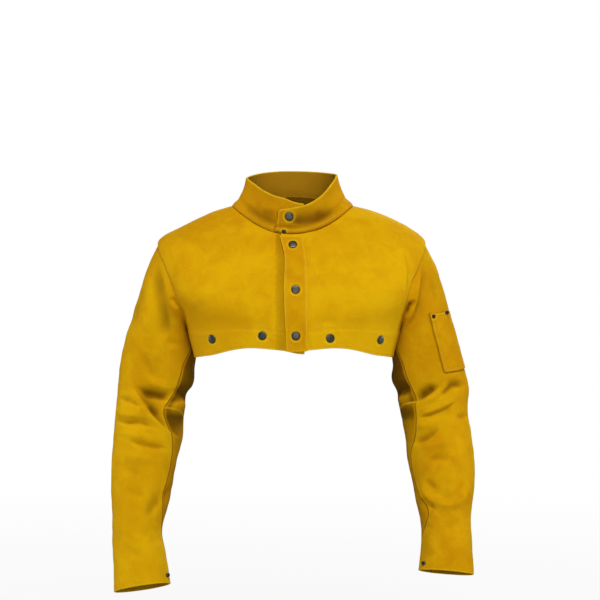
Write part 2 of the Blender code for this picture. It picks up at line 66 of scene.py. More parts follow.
# Grids: the rows and columns of each piece, and distances across a strip from each of its edges
SHOULDER_ROWS, ARMHOLE_ROWS, SIDE_ROWS = 45, 88, 19
FRONT_COLUMNS, BACK_COLUMNS, PLACKET_COLUMNS = 104, 150, 30
FACING_ROWS, FACING_COLUMNS = 16, 70
COLLAR_ROWS, COLLAR_COLUMNS = 26, 330
SLEEVE_ROWS, UPPER_ROWS, LOWER_ROWS = 290, 130, 136
SLEEVE_COLUMNS, UNDER_COLUMNS = 158, 56
POCKET_ROWS, POCKET_COLUMNS = 54, 44
SAMPLES_ACROSS = 73
CLOSE_TO_EDGE = (0.0, 0.45, 0.95, 1.6, 2.5, 3.8, 5.6)
TIP_ROW = len(CLOSE_TO_EDGE) - 1 + SHOULDER_ROWS
UNDERARM_ROW = TIP_ROW + ARMHOLE_ROWS - 1

# Body rings, from the neck seam down to the hem
Ring = namedtuple("Ring", "centre_x half_width front_y side_y back_y front_z side_z back_z square")
BODY_RINGS = (
    Ring(1, 106.0, -86, -8, 64, -52, 1.5, 22, 2.0),
    Ring(5, 149.0, -103, -4, 84, -74, -12, 5, 2.1),
    Ring(4, 198.5, -115, 0, 103, -98, -35, -21, 2.2),
    Ring(0, 234.0, -122, 2, 113, -126, -61, -52, 2.35),
    Ring(1, 233.0, -127, 0, 118, -156, -107, -95, 2.6),
    Ring(3, 212.0, -129, -6, 120, -184, -153, -145, 2.8),
    Ring(3, 189.0, -128, -10, 118, -211, -200, -205, 2.5),
    Ring(3, 172.0, -126, -14, 112, -248, -262, -244, 2.3),
)
NECK, TIP, UNDERARM, HEM = 0, 3, 6, 7
RING_GAP, HEM_RING_GAP = 50, 47
HEM_ARCH, HEM_ARCH_AT, HEM_ARCH_RINGS = 7.0, 27.0, 1.6
HEM_PROUD, HEM_PROUD_SLOPE = 0.9, 2.5
ARMHOLE_FRONT, ARMHOLE_BACK = 34.0, 36.0
FRONT_BEND, BACK_BEND = 4, 5

# Front edges of the body panels: x at the neck, upper chest, chest and hem
FrontEdge = namedtuple("FrontEdge", "neck upper chest low hem")
PLACKET_FREE_EDGE = FrontEdge(-21, -11.5, -12.5, -11, -8)
PLACKET_SEWN_EDGE = FrontEdge(16, 22.5, 24.5, 24.5, 25.5)
LEFT_PANEL_EDGE = FrontEdge(-18, -9, -10, -8.5, -5.5)
RIGHT_PANEL_EDGE = FrontEdge(13, 19, 21, 21, 21)
OVERLAP_RISE_START, OVERLAP_RISE_END = 24.0, 50.0
PLACKET_TOP, PLACKET_TOP_RINGS, PLACKET_DROP, PLACKET_DROP_RINGS = 0.34, 0.13, 1.0, 0.4
PLACKET_FREE_STITCH, PLACKET_SEWN_STITCH = 3.2, 2.6
PLACKET_GROOVE, PLACKET_GROOVE_WIDTH = 0.35, 1.1
FACING_HEIGHT, FACING_END = 36.0, 89.8
FACING_START_X = {1: 36.0, -1: -9.0}
TONGUE_DROP, TONGUE_START, TONGUE_END, TONGUE_RINGS = 6.0, -18.0, 22.0, 0.5

# Collar
COLLAR_ROUND, COLLAR_HEIGHT = 560, 66
COLLAR_TOP_HALF_WIDTH, COLLAR_TOP_CENTRE = 79.8, -0.5
COLLAR_TOP_FRONT_Y, COLLAR_TOP_SIDE_Y, COLLAR_TOP_BACK_Y = -82.0, -10.0, 55.0
COLLAR_TOP_SIDE_Z, COLLAR_TOP_BACK_Z, COLLAR_LEFT_SIDE_RISE = 53.0, 66.0, 3.0
COLLAR_UNDER_FRONT_Z, COLLAR_OVER_FRONT_Z = 9.5, -6.0
COLLAR_UNDER_SLOPE, COLLAR_UNDER_SLOPE_START, COLLAR_OVER_DROOP = 0.37, -12.0, 5.0
COLLAR_FRONT_BEND, COLLAR_OVER_BEND, COLLAR_BACK_BEND = 2, 0.3, 1.2
COLLAR_STRAIGHT, COLLAR_FLARE = 0.4, 3.0
COLLAR_UNDER_END, COLLAR_OVER_END = 15.0, 15.5
COLLAR_UNDER_BAND, COLLAR_OVER_BAND = 0.3, 0.7
COLLAR_OVERLAP_RISE, COLLAR_OVERLAP_START, COLLAR_OVERLAP_BAND = 3.7, 0.72, 0.16
COLLAR_INSET, COLLAR_SEAM_RISE, COLLAR_PLACKET_RISE = 0.3, 0.4, 2.8
COLLAR_CORNER, COLLAR_CORNER_HEIGHT = 9.0, 46
COLLAR_STAND, COLLAR_STITCH = 50, 5.2
COLLAR_RIDGE, COLLAR_RIDGE_UP, COLLAR_RIDGE_WIDTH = 1.5, 5, 3.5
COLLAR_GROOVE, COLLAR_GROOVE_UP, COLLAR_GROOVE_WIDTH = 1.6, 12.5, 4
# Painted shadow over the front of the collar
COLLAR_FRONT_SHADE = 4.8

# Sleeve sections from the armhole to the cuff. Distances are outwards from the centre line.
Section = namedtuple("Section", "outer_x outer_y outer_z inner_x inner_y inner_z depth rise seam")
RIGHT_SLEEVE = (
    Section(234.5, 2, -61, 186, -10, -200, 68, 0, 165),
    Section(254.5, 3, -104, 184, 6, -214, 68, 0, 163),
    Section(268.5, 5, -145, 176, 18, -233, 67, 0, 160),
    Section(281, 8, -187, 170, 28, -254, 66, 0, 150),
    Section(292, 11, -229, 172, 36, -280, 65, 0, 136),
    Section(301, 14, -271, 174, 38, -309, 63, 1, 130),
    Section(306, 16, -317, 187, 36, -334, 61, 3, 133),
    Section(310, 16, -359, 190, 32, -361, 59, 6, 118),
    Section(313, 13, -405, 194, 25, -405, 57, 9, 138),
    Section(316, 6, -455, 205, 15, -458, 55, 12, 151),
    Section(316, -4, -505, 214, 3, -510, 52, 14, 147),
    Section(313, -14, -555, 226, -10, -560, 49, 13, 168),
    Section(310, -25, -604, 220, -20, -600, 47, 10, 174),
    Section(307, -40, -667, 210, -32, -653, 45, 11, 178),
)
LEFT_SLEEVE = (
    Section(234.5, 2, -60, 192, -10, -200, 68, 0, 165),
    Section(255, 3, -100, 189, 6, -214, 68, 0, 163),
    Section(267, 5, -145, 181, 18, -233, 67, 0, 160),
    Section(276.5, 8, -187, 176, 28, -254, 66, 0, 148),
    Section(288, 11, -229, 178, 36, -280, 65, 0, 136),
    Section(300, 14, -271, 177, 38, -303, 63, 1, 129),
    Section(310, 16, -313, 187, 36, -332, 61, 3, 127),
    Section(309, 16, -352, 190, 32, -358, 59, 6, 126),
    Section(314.5, 13, -397, 199, 25, -398, 57, 9, 135),
    Section(320, 6, -447, 203, 15, -442, 55, 12, 157),
    Section(318, -4, -496, 215, 3, -500, 52, 14, 158),
    Section(311, -14, -540, 223, -10, -543, 49, 13, 135),
    Section(313, -25, -583, 225, -20, -583, 47, 10, 177),
    Section(314, -40, -637, 219, -32, -630, 45, 10, 180),
)
SLEEVES = {1: LEFT_SLEEVE, -1: RIGHT_SLEEVE}
SLEEVE_END, SECTION_GAP = 13, 47
HEAD_LENGTH, HEAD_SINK_LOW, HEAD_SINK_TIP, HEAD_INSET = 3.0, 2.2, 3.0, 0.25
SETTLE_START, SETTLE_SECTIONS = 0.12, 0.7
BACK_SEAM = -120.0
ELBOW_SEAM = {1: 6.65, -1: 6.88}
ELBOW_SLANT, ELBOW_SLANT_TURN, ELBOW_REACH = 0.3, 60, 2.5
SEAM_STIFFNESS, SEAM_STIFF_REACH = 0.55, 15.0
# Painted shade on the under sleeves, deepest near the armpit: its depth, where it starts and ends
# round the sleeve, and the sections where it fades out
UNDER_SLEEVE_SHADE, UNDER_SHADE_START_TURN, UNDER_SHADE_END, UNDER_SHADE_END_TURN = 10.0, 6, 225, 35
UNDER_SHADE_LAST_SECTION, UNDER_SHADE_SECTIONS = 10, 5

# Unevenness of the leather: height, wavelength and seed
Ripple = namedtuple("Ripple", "height wavelength seed")
BODY_RIPPLE, BODY_FINE_RIPPLE = Ripple(0.9, 95, 3), Ripple(0.25, 34, 5)
SLEEVE_RIPPLE, SLEEVE_FINE_RIPPLE = Ripple(0.6, 62, 21), Ripple(0.3, 25, 31)
COLLAR_RIPPLE = Ripple(0.5, 46, 11)
RIPPLE_WAVES = 9
BODY_RIPPLE_RINGS, BODY_FINE_RIPPLE_RINGS, COLLAR_RIPPLE_RISE = 0.8, 0.5, 3

# Creases. Height is out of the leather, left and right are the widths of its two sides as it runs,
# and the points are (x, z) on the plane of the picture.
# A lapped one is a fold whose one side lies over the other: lapped is the share of its height that
# its left side takes, and the right side takes the rest, the other way.
Crease = namedtuple("Crease", "height left right points lapped", defaults=(0.0,))
RIGHT_SLEEVE_CREASES = (
    Crease(-6.8, 11, 19, ((-239, -70), (-237, -98), (-233, -131), (-229, -158), (-224, -184),
        (-218.5, -212), (-211, -236), (-203, -252))),
    Crease(3.6, 8, 10, ((-222, -110), (-218, -140), (-208, -172), (-196, -200))),
    Crease(-4.2, 9, 12, ((-262, -120), (-268, -152), (-277, -188), (-284, -226))),
    Crease(2.8, 9, 9, ((-250, -110), (-252, -150), (-254, -200), (-262, -240))),
    Crease(-6.3, 5, 6, ((-196, -176), (-206, -164), (-214, -158))),
    Crease(-3.6, 10, 9, ((-266, -250), (-247, -286), (-241, -316))),
    Crease(-2.2, 8, 7, ((-222, -230), (-207, -240), (-195, -238))),
    Crease(3.1, 10, 8, ((-262, -292), (-236, -312), (-212, -318))),
    Crease(-15.0, 13, 30, ((-290, -305), (-280, -318), (-260, -344), (-241, -367), (-220, -387),
        (-196, -404), (-188, -410)), 0.62),
    Crease(-8.5, 12, 4.5, ((-276, -312), (-255.5, -328.5), (-239, -332), (-222, -335),
        (-206, -338), (-188, -338))),
    Crease(-3.6, 9, 7, ((-258, -350), (-240, -360), (-220, -360))),
    Crease(-5.6, 7, 5, ((-306, -334), (-290, -340), (-278, -346), (-262, -350))),
    Crease(4.2, 9, 9, ((-312, -352), (-289, -364), (-266, -366))),
    Crease(-8.5, 9, 4, ((-312, -375), (-290, -378), (-266, -379), (-246, -385), (-232, -392))),
    Crease(3.4, 7, 8, ((-306, -396), (-276, -398), (-246, -404))),
    Crease(-5.5, 6, 5, ((-292, -408), (-262, -417), (-238, -422), (-212, -424))),
    Crease(3.1, 8, 10, ((-300, -432), (-268, -438), (-240, -444))),
    Crease(-2.6, 10, 10, ((-306, -450), (-280, -462), (-258, -468))),
    Crease(-5.0, 7, 16, ((-206, -484), (-222, -505), (-236, -520), (-248, -534), (-262, -550))),
    Crease(-2.8, 10, 9, ((-296, -494), (-273, -502), (-256, -510))),
    Crease(-2.8, 8, 9, ((-262, -560), (-246, -578), (-228, -588))),
    Crease(-2.5, 8, 8, ((-300, -590), (-280, -604), (-256, -612))),
    Crease(2.2, 10, 10, ((-298, -540), (-290, -580), (-286, -620))),
    Crease(-6.0, 9, 8, ((-216, -322), (-192, -326), (-168, -326))),
    Crease(7.0, 13, 13, ((-214, -342), (-198, -346), (-184, -346))),
    Crease(-4.2, 9, 18, ((-236, -366), (-206, -372), (-170, -371))),
)
LEFT_SLEEVE_CREASES = (
    Crease(-11.5, 17, 10, ((230, -62), (229, -84), (227, -112), (223, -148), (216, -177),
        (206, -199), (192, -224)), 0.6),
    Crease(-1.8, 9, 10, ((252, -110), (252, -150), (250, -176))),
    Crease(-9.8, 6, 5, ((192, -194), (201, -180), (208, -171), (218, -163))),
    Crease(-11.0, 12, 4, ((196, -345), (212, -339), (232, -330), (246, -322), (264, -312))),
    Crease(4.2, 8, 7, ((222, -346), (246, -334), (266, -318), (280, -304))),
    Crease(-8.8, 12, 4.5, ((252, -338), (269, -323), (281, -314), (292, -312), (312, -310))),
    Crease(11.0, 13, 12, ((216, -370), (232, -364), (246, -359), (261, -353), (276, -346),
        (290, -338)), 0.4),
    Crease(-4.9, 6, 6, ((284, -366), (297, -368), (310, -364))),
    Crease(4.2, 8, 8, ((210, -388), (236, -380), (262, -370))),
    Crease(-6.0, 8, 5, ((200, -414), (216, -411), (230, -407), (244, -399), (262, -388))),
    Crease(3.4, 8, 8, ((222, -422), (250, -416), (282, -408))),
    Crease(-3.6, 7, 7, ((228, -444), (256, -440), (288, -446))),
    Crease(5.5, 6, 9, ((224, -486), (239, -507), (257, -517), (277, -520), (294, -512),
        (306, -495), (314, -468))),
    Crease(-2.6, 8, 7, ((232, -472), (248, -494), (264, -505), (281, -506), (292, -494),
        (297, -476))),
    Crease(-2.6, 7, 7, ((230, -478), (241, -487), (254, -494))),
    Crease(-5.0, 6, 6, ((222, -506), (236, -522), (254, -528))),
    Crease(4.2, 5, 9, ((232, -560), (243, -544), (256, -530))),
    Crease(-3.1, 8, 8, ((300, -544), (284, -556), (262, -562))),
    Crease(2.2, 9, 9, ((240, -560), (244, -590), (248, -616))),
    Crease(-6.5, 9, 8, ((162, -324), (186, -321), (214, -316))),
    Crease(7.0, 12, 12, ((182, -338), (200, -336), (216, -332))),
    Crease(-3.2, 18, 9, ((166, -366), (198, -367), (232, -358))),
)
SLEEVE_BACK_CREASES = (
    Crease(-4.0, 9, 9, ((214, -100), (226, -150), (224, -200), (210, -240))),
    Crease(3.0, 10, 10, ((238, -120), (246, -180), (240, -230))),
    Crease(-4.5, 7, 9, ((190, -300), (224, -318), (262, -312))),
    Crease(3.0, 8, 8, ((196, -324), (236, -340), (280, -332))),
    Crease(-5.0, 7, 8, ((200, -352), (240, -362), (292, -350))),
    Crease(2.6, 8, 8, ((206, -380), (250, -388), (296, -376))),
    Crease(-4.0, 8, 8, ((208, -408), (250, -410), (296, -398))),
    Crease(-2.4, 9, 9, ((224, -470), (262, -486), (306, -474))),
    Crease(2.0, 10, 10, ((236, -520), (270, -540), (300, -560))),
)
BODY_CREASES = (
    Crease(3.6, 9, 13, ((-196, -76), (-194.5, -97), (-194.5, -124), (-195.5, -148), (-188, -192))),
    Crease(-7.0, 12, 9, ((193, -66), (198, -88), (201.5, -108), (202, -126), (200, -164)), 0.6),
    Crease(-1.2, 12, 14, ((-150, -166), (-168, -180), (-182, -190))),
    Crease(0.9, 16, 18, ((-140, -60), (-128, -110), (-120, -150))),
    Crease(-1.0, 18, 18, ((-96, -70), (-88, -130), (-92, -190))),
    Crease(-2.4, 7, 20, ((-24, -52), (-22, -130), (-20, -226))),
    Crease(1.0, 18, 14, ((-54, -84), (-52, -140), (-58, -196))),
    Crease(-1.2, 12, 16, ((42, -74), (46, -120), (50, -176))),
    Crease(-1.8, 9, 10, ((52, -200), (66, -201), (80, -199))),
    Crease(0.9, 18, 18, ((112, -70), (110, -130), (118, -180))),
    Crease(-0.9, 20, 16, ((150, -100), (156, -140), (158, -190))),
)
BODY_BACK_CREASES = (
    Crease(2.0, 22, 22, ((-110, -50), (-104, -120), (-112, -230))),
    Crease(-1.8, 20, 20, ((-64, -40), (-58, -130), (-66, -236))),
    Crease(-1.8, 20, 20, ((60, -44), (66, -130), (58, -236))),
    Crease(2.0, 22, 22, ((112, -50), (108, -120), (118, -230))),
    Crease(-3.0, 10, 12, ((-190, -90), (-186, -140), (-172, -190))),
    Crease(-3.0, 12, 10, ((192, -90), (188, -140), (176, -190))),
)
COLLAR_CREASES = (
    Crease(-5.6, 13, 4.5, ((-16, -24), (0, -25.5), (18, -26), (34, -23.5), (50, -19), (72, -8))),
    Crease(-1.8, 16, 12, ((-88, 2), (-66, -12), (-46, -19), (-20, -22))),
    Crease(-1.6, 8, 9, ((34, -14), (56, -10), (76, -4))),
    Crease(-1.8, 8, 8, ((-58, -12), (-44, -10), (-26, -8))),
    Crease(1.2, 7, 7, ((-60, 2), (-42, -3), (-24, -6))),
)
CREASE_TAPER, CREASE_STEPS, LAP_TURN = 0.34, 8, 1.5
FOLD_WIDTHS, LAP_WIDTHS = 3, 4
# How far the leather has to face the front to take the front's creases and not the back's
BODY_FRONT_FACING, SLEEVE_FRONT_FACING, FACING_BLEND = 0.1, 0.3, 0.5

# The pen pocket on the left sleeve
POCKET_FRONT_TOP, POCKET_FRONT_BOTTOM, POCKET_SPAN = 71.0, 67.0, 54.0
POCKET_TOP_Z, POCKET_BOTTOM_Z, POCKET_REAR_LIFT = -188.0, -287.0, 6.0
POCKET_WIDTH, POCKET_HEIGHT, POCKET_FULLNESS = 78.0, 100.0, 1.4
POCKET_STITCH, POCKET_GROOVE, POCKET_GROOVE_WIDTH = 5.0, 0.6, 1.4

# Snaps and rivets: the piece each is set in, its place on the front view and how much it is turned
# from the leather's own facing towards the front
SNAP_RADIUS, RIVET_RADIUS = 7.5, 3.7
Fastener = namedtuple("Fastener", "name node piece x z radius turn", defaults=(0.0,))
FASTENERS = (
    Fastener("snap_collar", "collar_snap", "collar_band", -4.9, -16.6, SNAP_RADIUS),
    Fastener("rivet_collar", "collar_rivet", "collar_band", -14.1, -43.1, RIVET_RADIUS),
    Fastener("snap_placket_top", "placket_snap_1", "placket_strip", 1.5, -65.5, SNAP_RADIUS),
    Fastener("snap_placket_middle", "placket_snap_2", "placket_strip", 6.3, -144.4, SNAP_RADIUS),
    Fastener("snap_placket_low", "placket_snap_3", "placket_strip", 6.8, -225.8, SNAP_RADIUS),
    Fastener("snap_hem_1", "hem_snap_1", "right_front", -140.0, -231.4, SNAP_RADIUS),
    Fastener("snap_hem_2", "hem_snap_2", "right_front", -52.0, -225.4, SNAP_RADIUS),
    Fastener("snap_hem_3", "hem_snap_3", "left_front", 66.9, -229.8, SNAP_RADIUS),
    Fastener("snap_hem_4", "hem_snap_4", "left_front", 154.9, -232.4, SNAP_RADIUS),
    Fastener("rivet_pocket_front", "pocket_rivet_1", "pen_pocket", 248.2, -191.5, RIVET_RADIUS),
    Fastener("rivet_pocket_rear", "pocket_rivet_2", "pen_pocket",
             270.0, -184.8, RIVET_RADIUS, 0.8),
    Fastener("rivet_right_cuff", "right_cuff_rivet", "right_sleeve_top",
             -219.0, -645.1, RIVET_RADIUS, 0.7),
    Fastener("rivet_left_cuff", "left_cuff_rivet", "left_sleeve_top",
             231.5, -624.2, RIVET_RADIUS, 0.65),
)
# Half of a cap's section from its middle out, in shares of its radius and its height, and the post
# below it, in shares of its radius and millimetres
CAP_PROFILE = (
    (0.0, 1.0), (0.25, 0.99), (0.5, 0.95), (0.68, 0.90), (0.76, 0.86), (0.80, 0.80), (0.85, 0.79),
    (0.91, 0.72), (0.96, 0.55), (0.99, 0.34), (1.0, 0.14), (0.985, -0.05), (0.94, -0.14),
)
SNAP_CAP, RIVET_CAP, SNAP_GROOVE = 0.27, 0.34, (0.7, 0.9)
POST_PROFILE = ((0.3, -7.0), (0.7, -7.2), (0.7, -8.2), (0.62, -8.7), (0.0, -8.8))
FASTENER_STEPS, TURN_LIFT = 40, 0.6
DIMPLE, DIMPLE_REACH, DIMPLE_SLOPE = 0.9, 3.2, 3.6
SWELL, SWELL_AT, SWELL_WIDTH = 0.45, 3.4, 1.6
RUBBED_AT, RUBBED_WIDTH = 2.2, 1.5

# Stitches, and how far from an edge they run
STITCH_PITCH, STITCH_LENGTH, STITCH_THICKNESS, STITCH_LIFT = 3.7, 3.1, 0.4, 0.12
SEAM_STITCH, HEM_STITCH, BACK_HEM_STITCH = 3.4, 4.2, 22.0
HEM_STITCH_START = {1: 0.2, -1: 0.16}
SLEEVE_STITCH_START = 0.35

# Painted light and shade: how much lighter or darker each piece's dye is painted at the shoulder
# and at the cuff, for the light that falls on it, by a word of its name
PAINTED_LIGHT_TONES = {"right_front": (0.3, 1.9), "front": (0.6, 2.0), "placket": (0.2, 0.35),
         "back": (0.7, 0.7), "facing": (0.4, 0.4), "collar": (0.0, 0.0), "pocket": (0.25, 0.25),
         "under": (0.1, 0.4), "left_sleeve": (0.4, 0.42), "sleeve": (0.3, 1.0)}
PAINTED_TONE_HEIGHT = 640

# Shade that the edge of one piece throws on another: on, from, edge, reach and depth
EDGE_SHADES = (
    ("left_sleeve_top", "pen_pocket", "first", 6.5, SEAM_SHADE),
    ("left_sleeve_top", "pen_pocket", "last", 6.5, SEAM_SHADE),
    ("left_sleeve_top", "pen_pocket", "bottom", 6.5, SEAM_SHADE),
    ("right_front", "placket_strip", "first", 6.0, 10.0),
    ("right_front", "placket_strip", "first", 32.0, 5.8),
    ("left_front", "placket_strip", "last", 3.5, 6.0),
    ("left_front", "placket_strip", "last", 18.0, 3.0),
)

# The suede's look: how far dye clouds, painted shade in hollows, flecks, and rubbed places with
# painted highlights on raised folds go towards their colours
CLOUD_SHARE, PAINTED_SHADE_SHARE, FLECK_SHARE, RUBBED_AND_HIGHLIGHT_SHARE = 0.7, 0.84, 0.14, 0.4
WORN_AND_HIGHLIGHT_GOLD, SHEEN_GOLD = (0.80, 0.51, 0.010), (0.95, 0.66, 0.02)

# The studio, in metres and watts
FLOOR_REACH, FLOOR_Z, FLOOR_GREY = 14.0, -0.79, (0.45, 0.45, 0.45)
WHITE, WORLD_LIGHT = (1, 1, 1), 0.12
LIGHT_AIM = (0, 0, -0.25)
LIGHTS = (
    ("key", 73.0, 1.1, (0.15, -2.2, 2.0)),
    ("fill", 18.5, 1.0, (0.1, -3.0, -0.1)),
    ("right_edge", 13.0, 0.5, (-2.2, 0.0, -0.35)),
    ("left_edge", 13.0, 0.5, (2.2, 0.0, -0.35)),
    ("light_from_behind", 84.0, 1.8, (0.7, 2.7, 1.5)),
)


# Curves and surfaces


def smooth(value):
    """0 below 0, 1 above 1, and a smooth step between."""
    value = np.clip(value, 0.0, 1.0)
    return value * value * (3 - 2 * value)


def through(values, place):
    """Values at fractional indices, on a smooth curve through all of them."""
    values, place = np.asarray(values, float), np.asarray(place, float)
    last = len(values) - 1
    index = np.clip(np.floor(place).astype(int), 0, last - 1)
    step = place - index
    before, start = values[np.maximum(index - 1, 0)], values[index]
    end, after = values[index + 1], values[np.minimum(index + 2, last)]
    curve = 2 * before - 5 * start + 4 * end - after
    curve = curve + step * (3 * (start - end) + after - before)
    return start + 0.5 * step * (end - before + step * curve)


def row_at(table, place):
    """Rows of the table's kind, interpolated at fractional indices."""
    return type(table[0])(*(through(column, place) for column in zip(*table)))


def unit(vectors):
    return vectors / np.maximum(np.linalg.norm(vectors, axis=-1, keepdims=True), 1e-12)


def stack(x, y, z):
    return np.stack(np.broadcast_arrays(x, y, z), axis=-1).astype(float)


def seen(points):
    """(x, z) where the camera sees each point on the plane y = 0."""
    scale = -EYE[1] / (points[..., 1] - EYE[1])
    x, z = points[..., 0], points[..., 2]
    return EYE[0] + (x - EYE[0]) * scale, EYE[2] + (z - EYE[2]) * scale


def bell(distance, width):
    return np.exp(-((distance / width) ** 2))


def crease_height(creases, x, z):
    """How far the creases lift the leather at these places."""
    total = np.zeros(np.shape(x))
    for crease in creases:
        last = len(crease.points) - 1
        steps = np.linspace(0, last, CREASE_STEPS * last + 1)
        run_x, run_z = (through(column, steps) for column in zip(*crease.points))
        widths = LAP_WIDTHS if crease.lapped else FOLD_WIDTHS
        reach = widths * max(crease.left, crease.right)
        near = ((x > run_x.min() - reach) & (x < run_x.max() + reach)
                & (z > run_z.min() - reach) & (z < run_z.max() + reach))
        if not near.any():
            continue
        px, pz = x[near][:, None] - run_x[:-1], z[near][:, None] - run_z[:-1]
        dx, dz = np.diff(run_x), np.diff(run_z)
        length = np.hypot(dx, dz)
        along = np.clip((px * dx + pz * dz) / length**2, 0, 1)
        off_x, off_z = px - along * dx, pz - along * dz
        distance = np.hypot(off_x, off_z)
        nearest = distance.argmin(axis=1)
        pick = (np.arange(len(nearest)), nearest)
        side = dx[nearest] * off_z[pick] - dz[nearest] * off_x[pick]
        width = np.where(side > 0, crease.left, crease.right)
        start = np.concatenate([[0], np.cumsum(length)])
        share = (start[nearest] + along[pick] * length[nearest]) / start[-1]
        taper = smooth(share / CREASE_TAPER) * smooth((1 - share) / CREASE_TAPER)
        away = distance[pick] / (width * (0.5 + 0.5 * taper))
        if crease.lapped:
            part = np.where(side > 0, crease.lapped, crease.lapped - 1)
            profile = part * np.exp(-away) * (1 - np.exp(-distance[pick] / LAP_TURN))
        else:
            profile = bell(away, 1)
        total[near] += crease.height * profile * taper
    return total


def ripple(points, kind, shift=0):
    """A soft irregular unevenness of about the kind's height, up and down."""
    random = np.random.default_rng(kind.seed + shift)
    total = 0
    for _ in range(RIPPLE_WAVES):
        direction = unit(random.normal(size=3)) * random.uniform(0.7, 1.4)
        direction = direction * 2 * math.pi / kind.wavelength
        total = total + np.sin(points @ direction + random.uniform(0, 2 * math.pi))
    return kind.height * (total / 3.5)


def body_form(t, angle):
    """The body without its creases. t counts the rings down, angle starts at centre front."""
    t, angle = np.broadcast_arrays(np.asarray(t, float), np.asarray(angle, float))
    ring = row_at(BODY_RINGS, t)
    sine, cosine = np.sin(np.radians(angle)), np.cos(np.radians(angle))
    reach = (np.abs(sine) ** ring.square + np.abs(cosine) ** ring.square) ** (-1 / ring.square)
    end_y = np.where(cosine > 0, ring.front_y, ring.back_y)
    end_z = np.where(cosine > 0, ring.front_z, ring.back_z)
    off_arch = np.minimum(1, np.abs(np.abs(angle) - HEM_ARCH_AT) / HEM_ARCH_AT)
    arch = HEM_ARCH * np.cos(np.radians(90 * off_arch)) ** 2
    return stack(
        ring.centre_x + ring.half_width * sine * reach,
        ring.side_y + (end_y - ring.side_y) * np.abs(cosine) * reach,
        ring.side_z + (end_z - ring.side_z) * cosine**2 + arch * smooth(t - HEM + HEM_ARCH_RINGS),
    )


def body_normal(t, angle):
    down = body_form(t + 0.01, angle) - body_form(t - 0.01, angle)
    around = body_form(t, angle + 0.2) - body_form(t, angle - 0.2)
    return unit(np.cross(down, around))


def body_surface(t, angle, offset=0.0):
    """(points, normals, crease height) of the body's outer face, moved outwards by offset."""
    points, normals = body_form(t, angle), body_normal(t, angle)
    front = smooth((BODY_FRONT_FACING - normals[..., 1]) / FACING_BLEND)
    lift = front * crease_height(BODY_CREASES, *seen(points))
    lift += (1 - front) * crease_height(BODY_BACK_CREASES, points[..., 0], points[..., 2])
    lift += (ripple(points, BODY_RIPPLE) * smooth(t / BODY_RIPPLE_RINGS)
             + ripple(points, BODY_FINE_RIPPLE) * smooth(t / BODY_FINE_RIPPLE_RINGS))
    return points + (lift + offset)[..., None] * normals, normals, lift


def angle_at_x(t, x):
    """The angle near centre front where the ring has this x."""
    ring = row_at(BODY_RINGS, t)
    return np.degrees(np.arcsin((x - ring.centre_x) / ring.half_width))


def front_edge_x(edge, t):
    return through(edge, (len(edge) - 1) * np.asarray(t, float) / HEM)


def overlap_offset(points):
    """How far the left front lies above the ring surface where it laps the right one."""
    rise = (OVERLAP_RISE_END - points[..., 0]) / (OVERLAP_RISE_END - OVERLAP_RISE_START)
    return LAYER * smooth(rise)


def armhole_place(turn, back):
    """(t, angle) on the armhole edge, for turn 0 at the shoulder tip and 180 at the underarm."""
    middle, half = (TIP + UNDERARM) / 2, (UNDERARM - TIP) / 2
    spread = np.where(back, ARMHOLE_BACK, -ARMHOLE_FRONT)
    return middle - half * np.cos(np.radians(turn)), 90 + spread * np.sin(np.radians(turn))


def spaced(length, count):
    """Distances across a strip of this width, closer together near its edges."""
    edge = np.array(CLOSE_TO_EDGE)
    middle = np.linspace(edge[-1], length - edge[-1], count - 2 * len(edge) + 2)
    return np.concatenate([edge[:-1], middle, (length - edge[:-1])[::-1]])


def lengths_along(points):
    steps = np.linalg.norm(np.diff(points, axis=-2), axis=-1)
    return np.concatenate([np.zeros(steps.shape[:-1] + (1,)), np.cumsum(steps, axis=-1)], axis=-1)


def columns_between(place, rows, firsts, lasts, count):
    """For each row, parameters from first to last whose places are spaced as a strip needs."""
    values = firsts[:, None] + (lasts - firsts)[:, None] * np.linspace(0, 1, SAMPLES_ACROSS)
    along = lengths_along(place(rows[:, None], values))
    return np.array([np.interp(spaced(a[-1], count), a, v) for a, v in zip(along, values)])


def body_rows():
    """(t at the side edge, the front's angle there, the back's, t at the middle) of each row."""
    edge = np.array(CLOSE_TO_EDGE) / RING_GAP
    turn = np.linspace(0, 180, ARMHOLE_ROWS)
    armhole_t, front = armhole_place(turn, False)
    _, back = armhole_place(turn, True)
    shoulder = np.concatenate([edge[:-1], np.linspace(edge[-1], TIP, SHOULDER_ROWS + 1)[:-1]])
    armhole = np.linspace(TIP, UNDERARM, ARMHOLE_ROWS)
    side = np.concatenate([np.linspace(UNDERARM, HEM - edge[-1], SIDE_ROWS + 1)[1:],
                           HEM - edge[-2::-1]])
    above, below = np.full(len(shoulder), 90.0), np.full(len(side), 90.0)
    return (np.concatenate([shoulder, armhole_t, side]), np.concatenate([above, front, below]),
            np.concatenate([above, back, below]), np.concatenate([shoulder, armhole, side]))


def edge_depth(distance, radius):
    """How far a turned edge drops at this distance from its seam."""
    inside = np.clip(radius - distance, 0, radius)
    return radius - np.sqrt(np.maximum(radius**2 - inside**2, 0))


def distance_to(points, line, step=0.7, near=8, chunk=4000):
    """Distance of each point to a line of points, and a huge one well away from it."""
    along = lengths_along(line)
    steps = np.arange(0, along[-1], step)
    line = np.stack([np.interp(steps, along, line[:, i]) for i in range(3)], axis=-1)
    flat = points.reshape(-1, 3)
    found = np.full(len(flat), 1e9)
    close = ((flat > line.min(axis=0) - near) & (flat < line.max(axis=0) + near)).all(axis=1)
    places = np.nonzero(close)[0]
    for start in range(0, len(places), chunk):
        part = places[start:start + chunk]
        gaps = ((flat[part][:, None, :] - line[None, :, :]) ** 2).sum(axis=2)
        found[part] = np.sqrt(gaps.min(axis=1))
    return found.reshape(points.shape[:-1])


